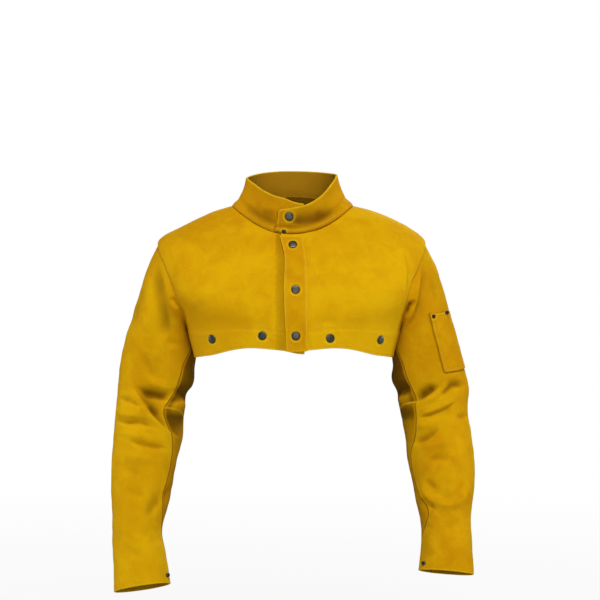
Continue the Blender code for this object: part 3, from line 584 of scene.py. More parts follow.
class Sheet:
    """The outer face of one piece of leather: a grid of points with its normals and creases.

    Creases is how far the leather is raised at each point, and also painted shade where it is
    below zero; worn how much it is rubbed, turned how near it is to a turned edge, and the last
    field how much lighter or darker its dye is painted for the light that falls on it.
    """

    def __init__(self, points, normals, creases):
        self.points, self.normals, self.creases = points, normals, creases
        self.worn, self.turned = np.zeros(creases.shape), np.zeros(creases.shape)
        self.tone = np.full(creases.shape, 0.5)

    def line(self, edge, start=0, stop=None):
        grid = {"top": self.points[0], "bottom": self.points[-1],
                "first": self.points[:, 0], "last": self.points[:, -1]}[edge]
        return grid[start:stop]

    def turn_in(self, line, radius, reach=SEAM_REACH, shaded=slice(None)):
        """Rolls the edge along this line inwards, as a turned seam does, so it isn't rubbed, and
        paints shade along it.
        """
        distance = distance_to(self.points, line)
        self.points = self.points - edge_depth(distance, radius)[..., None] * self.normals
        self.turned = np.maximum(self.turned, smooth(2 - distance / TURNED_REACH))
        self.shade(line[shaded], reach)

    def shade(self, line, reach, depth=SEAM_SHADE):
        """Painted shade along a line: the leather near it is darkened."""
        painted_shade = -depth * smooth(1.15 - distance_to(self.points, line) / reach)
        self.creases = np.minimum(self.creases, painted_shade)

    def press(self, seat, radius):
        """A fastener's dimple, with the leather raised and rubbed round it."""
        distance = np.linalg.norm(self.points - seat, axis=-1)
        dip = -DIMPLE * smooth((radius + DIMPLE_REACH - distance) / DIMPLE_SLOPE)
        swell = SWELL * bell(distance - radius - SWELL_AT, SWELL_WIDTH)
        self.points = self.points + (dip + swell)[..., None] * self.normals
        self.worn = np.maximum(self.worn, bell(distance - radius - RUBBED_AT, RUBBED_WIDTH))

    def seat(self, x, z, away=0.2, near=4, behind=2.5, far=1e6):
        """(point, normal) of the leather that the camera sees at this place.

        Leather that faces away is passed over, and so is leather behind the foremost near it.
        """
        seen_x, seen_z = seen(self.points)
        gap = np.hypot(seen_x - x, seen_z - z) + far * (self.normals[..., 1] > away)
        front = self.points[..., 1][gap < near].min()
        gap = np.where(self.points[..., 1] < front + behind, gap, far)
        nearest = np.unravel_index(gap.argmin(), gap.shape)
        point, normal = self.points[nearest], self.normals[nearest]
        step_x, step_z = x - seen_x[nearest], z - seen_z[nearest]
        step_y = -(normal[0] * step_x + normal[2] * step_z) / min(normal[1], -0.35)
        return point + np.array((step_x, step_y, step_z)), normal

    def inset(self, edge, distance, start=0.0):
        """A line on the leather at this distance from one of its edges, for stitches."""
        grids = [self.points, self.normals]
        if edge in ("top", "bottom"):
            grids = [np.swapaxes(grid, 0, 1) for grid in grids]
        if edge in ("last", "bottom"):
            grids = [grid[:, ::-1] for grid in grids]
        grids = [grid[int(start * len(grid)):] for grid in grids]
        along = lengths_along(grids[0])
        place, facing = (np.stack([[np.interp(distance, a, row[:, i]) for i in range(3)]
                                   for a, row in zip(along, grid)]) for grid in grids)
        return place + STITCH_LIFT * unit(facing)


def make_mesh(name, points, quads, slots, fields):
    """A smooth mesh of quads from millimetres, with a material slot a face and fields a point."""
    mesh = bpy.data.meshes.new(name)
    mesh.vertices.add(len(points))
    mesh.vertices.foreach_set("co", (points * MM).astype(np.float32).ravel())
    mesh.loops.add(quads.size)
    mesh.loops.foreach_set("vertex_index", quads.astype(np.int32).ravel())
    mesh.polygons.add(len(quads))
    mesh.polygons.foreach_set("loop_start", np.arange(0, quads.size, 4, dtype=np.int32))
    mesh.polygons.foreach_set("material_index", slots.astype(np.int32))
    for field, values in fields.items():
        layer = mesh.attributes.new(field, "FLOAT", "POINT")
        layer.data.foreach_set("value", values.astype(np.float32).ravel())
    mesh.update(calc_edges=True)
    mesh.shade_smooth()
    return mesh


def place_object(name, data):
    thing = bpy.data.objects.new(name, data)
    bpy.context.scene.collection.objects.link(thing)
    return thing


def add_piece(name, mesh, nodes, materials):
    """Links a finished piece, lets it ride and hides the solids it stands for."""
    piece = place_object(name, mesh)
    if len(mesh.materials) == 0:
        for material in materials:
            mesh.materials.append(material)
    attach(piece, "root")
    if nodes:
        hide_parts(*nodes)
    return piece


def make_leather(name, sheet, node, thickness=LEATHER):
    """A piece of leather from its outer face: outer side, flesh side and a rounded cut edge."""
    rows, columns = sheet.creases.shape
    outer, facing = sheet.points.reshape(-1, 3), sheet.normals.reshape(-1, 3)
    inner = outer - thickness * facing
    number = np.arange(rows * columns).reshape(rows, columns)
    quads = np.stack([number[:-1, :-1], number[1:, :-1], number[1:, 1:], number[:-1, 1:]], axis=-1)
    quads = outwards_quads(quads.reshape(-1, 4), outer, facing[number[:-1, :-1].ravel()])
    loop = np.concatenate([number[0], number[1:, -1], number[-1, -2::-1], number[-2:0:-1, 0]])
    inside = np.concatenate([number[1], number[1:, -2], number[-2, -2::-1], number[-2:0:-1, 1]])
    inside[0], inside[columns - 1] = number[1, 1], number[1, -2]
    outwards = unit(outer[loop] - outer[inside])
    middle = (outer[loop] + inner[loop]) / 2 + RIM_BULGE * thickness * outwards
    points = np.concatenate([outer, inner, middle])
    count, rim = len(outer), 2 * len(outer) + np.arange(len(loop))
    following, next_rim = np.roll(loop, -1), np.roll(rim, -1)
    upper = outwards_quads(np.stack([loop, following, next_rim, rim], axis=-1), points, outwards)
    lower = np.stack([rim, next_rim, following + count, loop + count], axis=-1)
    lower = outwards_quads(lower, points, outwards)
    quads = np.concatenate([quads, quads[:, ::-1] + count, upper, lower])
    faces = (rows - 1) * (columns - 1)
    slots = np.repeat([0, 1, 2], [faces, faces, 2 * len(loop)])
    from_edge = distance_to(sheet.points, outer[np.append(loop, loop[0])]).ravel()
    from_edge = from_edge + FAR_FROM_EDGE * sheet.turned.ravel()

    def on_both_sides(values, on_rim):
        return np.concatenate([values, values, on_rim])

    # The crease field holds the creases' height, and painted shade where it is below zero.
    fields = {
        "crease": on_both_sides(sheet.creases.ravel(), sheet.creases.ravel()[loop]),
        "edge": on_both_sides(from_edge, np.zeros(len(loop))).clip(0, FAR_FROM_EDGE),
        "worn": on_both_sides(sheet.worn.ravel(), sheet.worn.ravel()[loop]),
        "tone": on_both_sides(sheet.tone.ravel(), sheet.tone.ravel()[loop]),
    }
    mesh = make_mesh(name, points, quads, slots, fields)
    # The under sleeves take the darker copy of the suede, which is painted shade.
    face = UNDER_SLEEVE_SHADED_SUEDE if "under" in name else SUEDE
    return add_piece(name, mesh, [node], (face, FLESH_SIDE_WITH_SHADE, CUT_EDGE_WITH_HIGHLIGHT))


def outwards_quads(quads, points, outwards):
    """The quads turned, all together, so that they face outwards."""
    corners = points[quads]
    facing = np.cross(corners[:, 2] - corners[:, 0], corners[:, 3] - corners[:, 1])
    return quads if (facing * outwards).sum() >= 0 else quads[:, ::-1]


# The pieces of leather


def panel_grid(first, last, bend, edge_t, middle_t, count):
    """(t, angle) of a panel's points: its rows are level inside and bend to the edge's own t."""

    def t_at(angles):
        share = np.clip((angles - first[:, None]) / (last - first)[:, None], 0, 1)
        return middle_t[:, None] + (edge_t - middle_t)[:, None] * bend(share)

    angles = columns_between(lambda _, a: body_form(t_at(a), a), middle_t, first, last, count)
    return t_at(angles), angles


def front_panel(side):
    """The front of the cape on one side, from the neck seam and shoulder seam to the hem."""
    edge_t, edge_angle, _, middle_t = body_rows()
    front_x = front_edge_x(LEFT_PANEL_EDGE if side > 0 else RIGHT_PANEL_EDGE, middle_t)
    t, angles = panel_grid(angle_at_x(middle_t, front_x), side * edge_angle,
                           lambda share: share**FRONT_BEND, edge_t, middle_t, FRONT_COLUMNS)
    points, normals, creases = body_surface(t, angles)
    if side > 0:
        points = points + overlap_offset(points)[..., None] * normals
    else:
        tongue = smooth((points[..., 0] - TONGUE_START) / (TONGUE_END - TONGUE_START))
        low = smooth((t - HEM + TONGUE_RINGS) / TONGUE_RINGS)
        points[..., 2] -= TONGUE_DROP * tongue * low
    above_hem = (HEM - t) * HEM_RING_GAP
    proud = HEM_PROUD * smooth((FACING_HEIGHT - above_hem) / HEM_PROUD_SLOPE)
    sheet = Sheet(points + proud[..., None] * normals, normals, creases)
    neck, shoulder = sheet.line("top"), sheet.line("last", 0, TIP_ROW + 1)
    armhole = sheet.line("last", TIP_ROW, UNDERARM_ROW + 1)
    under = sheet.line("last", UNDERARM_ROW)
    sheet.turn_in(neck, SEAM_ROLL, NECK_REACH)
    sheet.turn_in(shoulder, SEAM_ROLL)
    sheet.turn_in(armhole, ARMHOLE_ROLL, shaded=slice(PLAIN_ARMHOLE_ROWS, None))
    sheet.turn_in(under, SEAM_ROLL)
    return sheet


def back_panel():
    """The whole back, which is plain."""
    edge_t, _, edge_angle, middle_t = body_rows()
    t, angles = panel_grid(edge_angle, 360 - edge_angle,
                           lambda share: np.abs(2 * share - 1) ** BACK_BEND,
                           edge_t, middle_t, BACK_COLUMNS)
    sheet = Sheet(*body_surface(t, angles))
    for edge in ("top", "first", "last"):
        sheet.turn_in(sheet.line(edge), SEAM_ROLL)
    return sheet


def placket():
    """The snap strip, sewn on top of the left front's edge."""
    _, _, _, middle_t = body_rows()
    t = np.unique(np.concatenate([np.array(CLOSE_TO_EDGE) / RING_GAP + PLACKET_TOP,
                                  middle_t[middle_t > PLACKET_TOP + PLACKET_TOP_RINGS]]))
    first = angle_at_x(t, front_edge_x(PLACKET_FREE_EDGE, t))
    last = angle_at_x(t, front_edge_x(PLACKET_SEWN_EDGE, t))
    angles = columns_between(body_form, t, first, last, PLACKET_COLUMNS)
    points, normals, creases = body_surface(t[:, None], angles, 2 * LAYER)
    low = smooth((t[:, None] - HEM + PLACKET_DROP_RINGS) / PLACKET_DROP_RINGS)
    points[..., 2] -= PLACKET_DROP * low
    stitched = np.minimum(np.abs(distance_to(points, points[:, -1]) - PLACKET_SEWN_STITCH),
                          np.abs(distance_to(points, points[:, 0]) - PLACKET_FREE_STITCH))
    groove = PLACKET_GROOVE * bell(stitched, PLACKET_GROOVE_WIDTH)
    return Sheet(points - groove[..., None] * normals, normals, creases)


def hem_facing(side):
    """The strip inside the front hem that the bib snaps are set through."""
    start = float(angle_at_x(HEM, FACING_START_X[side]))
    end = start + (side * FACING_END - start) * 6 / 7
    angles = np.linspace(start, end, FACING_COLUMNS)[None, :]
    height = body_form(HEM - 1, angles)[..., 2] - body_form(HEM, angles)[..., 2]
    t = HEM - np.linspace(1, 0.02, FACING_ROWS)[:, None] * FACING_HEIGHT / height
    points, normals, creases = body_surface(t, angles, -FACING_LAYER)
    if side > 0:
        points = points + overlap_offset(points)[..., None] * normals
    return Sheet(points, normals, creases)


def collar_foot(band, angle, outwards):
    """The collar's lower edge on the neck seam. Its over end stands on the placket."""
    foot = body_form(NECK, angle) - COLLAR_INSET * outwards
    foot[..., 2] += COLLAR_SEAM_RISE
    on_placket = smooth((band - COLLAR_OVER_BAND) / 0.14)
    foot[..., 2] += (COLLAR_PLACKET_RISE - COLLAR_SEAM_RISE) * on_placket
    return foot


def collar_top(band, sine, cosine):
    """The collar's upper edge, which is lowest in front and droops at its over end."""
    front_z = COLLAR_UNDER_FRONT_Z + (COLLAR_OVER_FRONT_Z - COLLAR_UNDER_FRONT_Z) * smooth(band)
    end_y = np.where(cosine > 0, COLLAR_TOP_FRONT_Y, COLLAR_TOP_BACK_Y)
    side_z = COLLAR_TOP_SIDE_Z + COLLAR_LEFT_SIDE_RISE * sine
    end_z = np.where(cosine > 0, front_z - side_z, COLLAR_TOP_BACK_Z - side_z)
    front_bend = COLLAR_FRONT_BEND - COLLAR_OVER_BEND * smooth(2 * band - 1)
    bend = np.where(cosine > 0, front_bend, COLLAR_BACK_BEND)
    top = stack(COLLAR_TOP_CENTRE + COLLAR_TOP_HALF_WIDTH * sine,
                COLLAR_TOP_SIDE_Y + (end_y - COLLAR_TOP_SIDE_Y) * np.abs(cosine),
                side_z + end_z * np.abs(cosine) ** bend)
    under_end = np.maximum(top[..., 0] - COLLAR_UNDER_SLOPE_START, 0)
    under_end = under_end * (band < COLLAR_UNDER_BAND)
    over_end = smooth((8 - top[..., 0]) / 30) * (band > COLLAR_OVER_BAND)
    top[..., 2] -= COLLAR_UNDER_SLOPE * under_end + COLLAR_OVER_DROOP * over_end
    return top


def collar_grid():
    """(band, up) of the collar's points, closer together near all its edges."""
    across = np.array(CLOSE_TO_EDGE) / COLLAR_ROUND
    last, near = COLLAR_COLUMNS - 1, np.arange(len(across))
    band = np.interp(np.linspace(0, 1, COLLAR_COLUMNS),
                     np.concatenate([near, last - near[::-1]]) / last,
                     np.concatenate([across, 1 - across[::-1]]))[None, :]
    upwards = np.array(CLOSE_TO_EDGE) / COLLAR_HEIGHT
    up = np.concatenate([upwards, np.linspace(0.11, 0.9, COLLAR_ROWS), 1 - upwards[::-1]])[:, None]
    to_end = (1 - band) * COLLAR_ROUND
    inside = np.clip(COLLAR_CORNER - to_end, 0, COLLAR_CORNER)
    corner = COLLAR_CORNER - np.sqrt(COLLAR_CORNER**2 - inside**2)
    return band, up * (1 - corner / COLLAR_CORNER_HEIGHT)


def collar_band():
    """The stand collar: band 0 is its under end, band 1 its over end with a rounded top corner."""
    band, up = collar_grid()
    angle = COLLAR_UNDER_END - band * (360 + COLLAR_UNDER_END + COLLAR_OVER_END)
    sine, cosine = np.sin(np.radians(angle)), np.cos(np.radians(angle))
    outwards = stack(sine, -cosine, 0)
    foot, top = collar_foot(band, angle, outwards), collar_top(band, sine, cosine)
    flare = (1 - COLLAR_STRAIGHT) * (1 - up) ** COLLAR_FLARE
    flare = COLLAR_STRAIGHT * (1 - up) + flare
    points = stack(top[..., 0] + (foot[..., 0] - top[..., 0]) * flare,
                   top[..., 1] + (foot[..., 1] - top[..., 1]) * flare,
                   foot[..., 2] + (top[..., 2] - foot[..., 2]) * up)
    lift = np.where(cosine > 0.3, crease_height(COLLAR_CREASES, *seen(points)), 0.0)
    lift = lift + ripple(points, COLLAR_RIPPLE) * smooth(up * COLLAR_RIPPLE_RISE)
    height = COLLAR_STAND * up
    ridge = COLLAR_RIDGE * bell(height - COLLAR_RIDGE_UP, COLLAR_RIDGE_WIDTH)
    groove = COLLAR_GROOVE * bell(height - COLLAR_GROOVE_UP, COLLAR_GROOVE_WIDTH)
    lift = lift + (ridge - groove) * smooth(2 * cosine + 0.6)
    rise = smooth((band - COLLAR_OVERLAP_START) / COLLAR_OVERLAP_BAND) * COLLAR_OVERLAP_RISE
    points = points + (lift + rise)[..., None] * outwards
    normals = unit(np.cross(np.gradient(points, axis=1), np.gradient(points, axis=0)))
    if (normals * outwards).sum() < 0:
        normals = -normals
    # Painted shadow darkens the collar's front.
    shaded_lift = lift - COLLAR_FRONT_SHADE * smooth(1.6 * cosine - 0.3)
    sheet = Sheet(points, normals, shaded_lift)
    # Painted shadow of the over end's edge, kept on the under end only.
    sheet.shade(sheet.line("last"), COLLAR_END_REACH, COLLAR_END_SHADE)
    sheet.creases = np.where(band < COLLAR_UNDER_BAND, sheet.creases, shaded_lift)
    sheet.turn_in(sheet.line("top"), SEAM_ROLL, COLLAR_TOP_REACH)
    return sheet


def sleeve_section(table, k, turn):
    """A point of the plain elliptical section k, on the left side."""
    row = row_at(table, k)
    outer = stack(row.outer_x, row.outer_y, row.outer_z)
    inner = stack(row.inner_x, row.inner_y, row.inner_z)
    cosine, sine = np.cos(np.radians(turn))[..., None], np.sin(np.radians(turn))[..., None]
    across = cosine * (outer - inner) / 2 + sine * stack(0, -row.depth, row.rise)
    return (outer + inner) / 2 + across


def sleeve_rim(side, turn):
    """Where the sleeve starts: inside the armhole, and under the body's edge at the shoulder."""
    turn = (turn + 180) % 360 - 180
    t, angle = armhole_place(np.abs(turn), turn < 0)
    edge, normals, _ = body_surface(t, side * angle)
    middle = (TIP + UNDERARM) / 2
    inwards = body_form(t + 0.02 * (middle - t), side * (angle + 0.02 * (90 - angle)))
    inwards = unit(inwards - body_form(t, side * angle))
    near_tip = (1 + np.cos(np.radians(turn))) / 2
    sink = HEAD_SINK_LOW + (HEAD_SINK_TIP - HEAD_SINK_LOW) * near_tip
    return edge + HEAD_INSET * inwards - sink[..., None] * normals


def sleeve_form(side, k, turn):
    """The sleeve without its creases: side is 1 for the left one, k counts the sections."""
    k, turn = np.broadcast_arrays(np.asarray(k, float), np.asarray(turn, float))
    mirror = np.array((side, 1.0, 1.0))
    points = sleeve_section(SLEEVES[side], k, turn) * mirror
    head = k < HEAD_LENGTH
    if head.any():
        start = sleeve_section(SLEEVES[side], 0 * k[head], turn[head]) * mirror
        share = 1 - smooth(k[head] / HEAD_LENGTH)
        points[head] += share[:, None] * (sleeve_rim(side, turn[head]) - start)
    return points


def seam_turn(side, k):
    """Where the seam between the top and under sleeves lies at section k."""
    return through([row.seam for row in SLEEVES[side]], k)


def sleeve_surface(side, k, turn, offset=0.0):
    """(points, normals, crease height) of a sleeve's outer face, moved outwards by offset."""
    points = sleeve_form(side, k, turn)
    low, high = np.maximum(0, k - 0.02), np.minimum(SLEEVE_END, k + 0.02)
    along = sleeve_form(side, high, turn) - sleeve_form(side, low, turn)
    around = sleeve_form(side, k, turn + 1) - sleeve_form(side, k, turn - 1)
    normals = unit(side * np.cross(around, along))
    front = smooth((SLEEVE_FRONT_FACING - normals[..., 1]) / FACING_BLEND)
    creases = LEFT_SLEEVE_CREASES if side > 0 else RIGHT_SLEEVE_CREASES
    behind = crease_height(SLEEVE_BACK_CREASES, np.abs(points[..., 0]), points[..., 2])
    lift = front * crease_height(creases, *seen(points)) + (1 - front) * behind
    from_seam = np.abs(turn - seam_turn(side, k))
    lift = lift * (1 - SEAM_STIFFNESS * smooth(1 - from_seam / SEAM_STIFF_REACH))
    lift = (lift + ripple(points, SLEEVE_RIPPLE, side) + ripple(points, SLEEVE_FINE_RIPPLE, side))
    lift = smooth((k - SETTLE_START) / SETTLE_SECTIONS) * lift
    return points + (lift + offset)[..., None] * normals, normals, lift


def sleeve_panel(side, first, last, under, rows, columns):
    """A sleeve panel between two sections: the top sleeve, or the under sleeve behind the seam."""
    length = SECTION_GAP * (last - first)
    k = first + (last - first) * spaced(length, rows) / length
    seam, back = seam_turn(side, k), np.full(len(k), BACK_SEAM)
    starts, ends = (seam, 360 + back) if under else (back, seam)
    turn = columns_between(lambda a, b: sleeve_form(side, a, b), k, starts, ends, columns)
    k, from_seam = k[:, None], turn - seam[:, None]
    if under:
        slant = ELBOW_SLANT * smooth(from_seam / ELBOW_SLANT_TURN)
        k = k + slant * np.maximum(1 - np.abs(k - ELBOW_SEAM[side]) / ELBOW_REACH, 0)
    sheet = Sheet(*sleeve_surface(side, k, turn))
    if under:
        # Painted shade on the under sleeve, away from the seam and down to the elbow.
        under_shade = smooth(from_seam / UNDER_SHADE_START_TURN) * smooth((UNDER_SHADE_END - turn) / UNDER_SHADE_END_TURN)
        under_shade = under_shade * smooth((UNDER_SHADE_LAST_SECTION - k) / UNDER_SHADE_SECTIONS)
        sheet.creases = sheet.creases - UNDER_SLEEVE_SHADE * under_shade
    for edge in ("first", "last"):
        sheet.turn_in(sheet.line(edge), SLEEVE_ROLL)
    shaded = slice(0 if under else PLAIN_HEAD_COLUMNS, None)
    sheet.turn_in(sheet.line("top"), SEAM_ROLL, shaded=shaded)
    if last < SLEEVE_END:
        from_elbow = distance_to(sheet.points, sheet.line("bottom"))
        sheet.worn = np.maximum(sheet.worn, smooth(2 - from_elbow / 2.2))
    return sheet


def sleeve_place_at_z(side, turn, z, halvings=22):
    """The fractional section where the sleeve at this turn has this height."""
    low, high = np.zeros(np.shape(turn)), np.full(np.shape(turn), float(SLEEVE_END))
    for _ in range(halvings):
        middle = (low + high) / 2
        above = sleeve_form(side, middle, turn)[..., 2] > z
        low, high = np.where(above, middle, low), np.where(above, high, middle)
    return (low + high) / 2


def pen_pocket():
    """The pocket's outer face, a little fuller at its mouth."""
    across = spaced(POCKET_WIDTH, POCKET_COLUMNS)[None, :] / POCKET_WIDTH
    down = spaced(POCKET_HEIGHT, POCKET_ROWS)[:, None] / POCKET_HEIGHT
    across, down = np.broadcast_arrays(across, down)
    front = POCKET_FRONT_TOP + (POCKET_FRONT_BOTTOM - POCKET_FRONT_TOP) * down
    turn = front - across * POCKET_SPAN
    z = POCKET_TOP_Z + (POCKET_BOTTOM_Z - POCKET_TOP_Z) * down + across * POCKET_REAR_LIFT
    k = sleeve_place_at_z(1, turn, z)
    full = POCKET_FULLNESS * (1 - down) ** 1.5 * np.sin(np.pi * across)
    points, normals, creases = sleeve_surface(1, k, turn, POCKET_LAYER)
    rim = np.minimum(distance_to(points, points[:, 0]), distance_to(points, points[:, -1]))
    rim = np.minimum(rim, distance_to(points, points[-1]))
    groove = bell(rim - POCKET_STITCH, POCKET_GROOVE_WIDTH)
    points = points + full[..., None] * normals - (POCKET_GROOVE * groove)[..., None] * normals
    # The stitch groove is darkened as well: painted shade.
    return Sheet(points, normals, creases - 4 * groove)


# Materials. Each shader group is built once and used by several of them.


def feed(tree, node, inputs):
    """Gives a node's inputs, by name or number, a number, a colour or another node's output."""
    for label, value in inputs.items():
        if isinstance(value, tuple):
            node.inputs[label].default_value = value + (1.0,)
        elif isinstance(value, (int, float)):
            node.inputs[label].default_value = value
        else:
            tree.links.new(value, node.inputs[label])


def add_node(tree, kind, inputs=None, **settings):
    node = tree.nodes.new(kind)
    for setting, value in settings.items():
        setattr(node, setting, value)
    feed(tree, node, inputs or {})
    return node


def new_group(name, inputs, outputs):
    """(group, sockets of its inputs, node of its outputs). An input of None is a vector."""
    group = bpy.data.node_groups.new(name, "ShaderNodeTree")
    for label, value in inputs.items():
        kind = "NodeSocketVector" if value is None else "NodeSocketFloat"
        socket = group.interface.new_socket(name=label, in_out="INPUT", socket_type=kind)
        if value is not None:
            socket.default_value = value
    for label in outputs:
        group.interface.new_socket(name=label, in_out="OUTPUT", socket_type="NodeSocketFloat")
    return group, group.nodes.new("NodeGroupInput").outputs, group.nodes.new("NodeGroupOutput")


def noise(tree, vector, scale, detail, rough, distortion=0.0):
    inputs = {"Vector": vector, "Scale": scale, "Detail": detail, "Roughness": rough,
              "Distortion": distortion}
    return add_node(tree, "ShaderNodeTexNoise", inputs).outputs["Fac"]


def math_node(tree, operation, a, b, clamp=False):
    node = add_node(tree, "ShaderNodeMath", {0: a, 1: b}, operation=operation, use_clamp=clamp)
    return node.outputs[0]


def weighted(tree, first, first_share, second, second_share):
    return math_node(tree, "ADD", math_node(tree, "MULTIPLY", first, first_share),
                     math_node(tree, "MULTIPLY", second, second_share))


def ranged(tree, value, low, high, to_low=0.0, to_high=1.0):
    inputs = {"Value": value, "From Min": low, "From Max": high, "To Min": to_low,
              "To Max": to_high}
    node = add_node(tree, "ShaderNodeMapRange", inputs, interpolation_type="SMOOTHSTEP")
    return node.outputs["Result"]


def mixed(tree, share, first, second):
    """A colour between two, which may be colours or outputs."""
    inputs = {0: share, 6: first, 7: second}
    return add_node(tree, "ShaderNodeMix", inputs, data_type="RGBA").outputs[2]


def attribute(tree, name):
    return add_node(tree, "ShaderNodeAttribute", attribute_name=name).outputs["Fac"]


def use_group(tree, group, vector, **values):
    return add_node(tree, "ShaderNodeGroup", {"Vector": vector, **values}, node_tree=group).outputs


def build_nap_mottle():
    """Uneven dye and brushed nap: broad cloudy patches, small ones and short fibres."""
    inputs = dict(Vector=None, Broad=9.0, Patch=38.0, Fibre=700.0)
    group, start, end = new_group("nap_mottle", inputs, ("Cloud", "Fleck"))
    broad = noise(group, start["Vector"], start["Broad"], 2.0, 0.5, 0.6)
    patch = noise(group, start["Vector"], start["Patch"], 3.0, 0.6, 0.8)
    fibre = noise(group, start["Vector"], start["Fibre"], 4.0, 0.7)
    cloud = weighted(group, broad, 0.62, patch, 0.38)
    feed(group, end, {"Cloud": ranged(group, cloud, 0.36, 0.64),
                      "Fleck": ranged(group, fibre, 0.32, 0.7)})
    return group


def build_suede_grain():
    """The height of brushed split leather: fibre bundles over a slow unevenness."""
    inputs = dict(Vector=None, Fibre=900.0, Bundle=260.0)
    group, start, end = new_group("suede_grain", inputs, ("Height",))
    fibre = noise(group, start["Vector"], start["Fibre"], 4.0, 0.75, 0.4)
    bundle = noise(group, start["Vector"], start["Bundle"], 3.0, 0.6, 0.6)
    feed(group, end, {"Height": weighted(group, fibre, 0.55, bundle, 0.45)})
    return group


def build_wear_and_painted_shade():
    """Where a surface is rubbed near its edges, where raised folds go lighter, part rubbing and
    part painted highlight, and where hollows and painted shade darken it.
    """
    inputs = dict(Vector=None, Edge=float(FAR_FROM_EDGE), Raised=0.0, Width=3.0, Size=120.0)
    group, start, end = new_group("wear_and_painted_shade", inputs, ("WearAndRidgeHighlight", "PaintedShade"))
    broken = noise(group, start["Vector"], start["Size"], 3.0, 0.6)
    near = math_node(group, "DIVIDE", start["Edge"], start["Width"])
    near = math_node(group, "ADD", near, math_node(group, "MULTIPLY", broken, 0.9))
    near = ranged(group, near, 0.4, 1.5, 1.0, 0.0)
    raised = ranged(group, start["Raised"], 1.0, 7.0)
    feed(group, end, {"WearAndRidgeHighlight": math_node(group, "MAXIMUM", near, raised),
                      "PaintedShade": ranged(group, start["Raised"], -1.0, -11.0)})
    return group


def start_material(name):
    """(material, its tree, its shader, Object coordinates)."""
    material = bpy.data.materials.new(name)
    material.use_nodes = True
    tree = material.node_tree
    place = tree.nodes.new("ShaderNodeTexCoord").outputs["Object"]
    return material, tree, tree.nodes["Principled BSDF"], place


def bumped(tree, height, strength, distance):
    """The normal of a surface with this height."""
    inputs = {"Strength": strength, "Distance": distance, "Height": height}
    return add_node(tree, "ShaderNodeBump", inputs).outputs["Normal"]


def leather_material(name, light, middle, deep, worn, sheen, bump):
    """Brushed split leather in three tones of its dye, worn lighter where it is handled, with
    painted shade in hollows and painted highlights on raised folds.
    """
    material, tree, shader, place = start_material(name)
    mottle = use_group(tree, NAP_MOTTLE, place)
    wear = use_group(tree, WEAR_AND_PAINTED_SHADE, place, Edge=attribute(tree, "edge"),
                     Raised=attribute(tree, "crease"))
    cloud = math_node(tree, "SUBTRACT", mottle["Cloud"], 0.5)
    # Random dye clouds, plus the painted light and shade of each piece.
    dye = math_node(tree, "ADD", math_node(tree, "MULTIPLY", cloud, CLOUD_SHARE),
                    attribute(tree, "tone"), clamp=True)
    colour = mixed(tree, dye, middle, light)
    # Crease values below zero darken the colour: painted shade in hollows and along seams. Raised
    # folds lighten it: part rubbing, part painted highlight.
    rubbed = math_node(tree, "MAXIMUM", wear["WearAndRidgeHighlight"], attribute(tree, "worn"))
    for mask, share, towards in ((wear["PaintedShade"], PAINTED_SHADE_SHARE, deep),
                                 (mottle["Fleck"], FLECK_SHARE, deep),
                                 (rubbed, RUBBED_AND_HIGHLIGHT_SHARE, worn)):
        colour = mixed(tree, math_node(tree, "MULTIPLY", mask, share), colour, towards)
    grain = use_group(tree, SUEDE_GRAIN, place)
    feed(tree, shader, {
        "Base Color": colour,
        "Roughness": ranged(tree, mottle["Fleck"], 0.0, 1.0, 0.86, 0.97),
        "Specular IOR Level": 0.03,
        "Sheen Weight": sheen,
        "Sheen Roughness": 0.55,
        "Sheen Tint": SHEEN_GOLD,
        "Normal": bumped(tree, grain["Height"], bump, 0.0007),
    })
    return material


def metal_material(name, base, rubbed, roughness):
    """Darkened brass or steel whose finish is rubbed thin, with fine brushing."""
    material, tree, shader, place = start_material(name)
    wear = use_group(tree, WEAR_AND_PAINTED_SHADE, place, Size=420.0, Width=1.0)
    cloud = noise(tree, place, 500.0, 3.0, 0.6)
    feed(tree, shader, {
        "Base Color": mixed(tree, ranged(tree, cloud, 0.3, 0.75), base, rubbed),
        "Metallic": 0.85,
        "Roughness": ranged(tree, wear["WearAndRidgeHighlight"], 0.0, 1.0, *roughness),
        "Normal": bumped(tree, cloud, 0.12, 0.0002),
    })
    return material


def thread_material():
    material, tree, shader, place = start_material("sewing_thread")
    strands = noise(tree, place, 2200.0, 2.0, 0.5)
    strand = ranged(tree, strands, 0.3, 0.7)
    feed(tree, shader, {
        "Base Color": mixed(tree, strand, (0.56, 0.31, 0.012), (0.78, 0.48, 0.03)),
        "Roughness": 0.7,
        "Specular IOR Level": 0.2,
        "Normal": bumped(tree, strands, 0.3, 0.0002),
    })
    return material


NAP_MOTTLE = build_nap_mottle()
SUEDE_GRAIN = build_suede_grain()
WEAR_AND_PAINTED_SHADE = build_wear_and_painted_shade()
SUEDE = leather_material(
    "golden_suede", light=(0.71, 0.40, 0.002), middle=(0.575, 0.262, 0.001),
    deep=(0.12, 0.044, 0.001), worn=WORN_AND_HIGHLIGHT_GOLD, sheen=0.20, bump=0.5)
# A darker, duller copy of the suede for the under sleeves: painted shade where the arm and body
# shade them.
UNDER_SLEEVE_SHADED_SUEDE = leather_material(
    "under_suede_painted_shade", light=(0.64, 0.35, 0.002), middle=(0.52, 0.235, 0.001),
    deep=(0.075, 0.027, 0.001), worn=WORN_AND_HIGHLIGHT_GOLD, sheen=0.04, bump=0.5)
# The flesh side: rougher and browner than the face, and darker too, which is painted shade for the
# garment's inside.
FLESH_SIDE_WITH_SHADE = leather_material(
    "flesh_side_with_painted_shade", light=(0.46, 0.25, 0.008), middle=(0.38, 0.185, 0.006),
    deep=(0.24, 0.11, 0.004), worn=(0.52, 0.30, 0.02), sheen=0.12, bump=0.7)
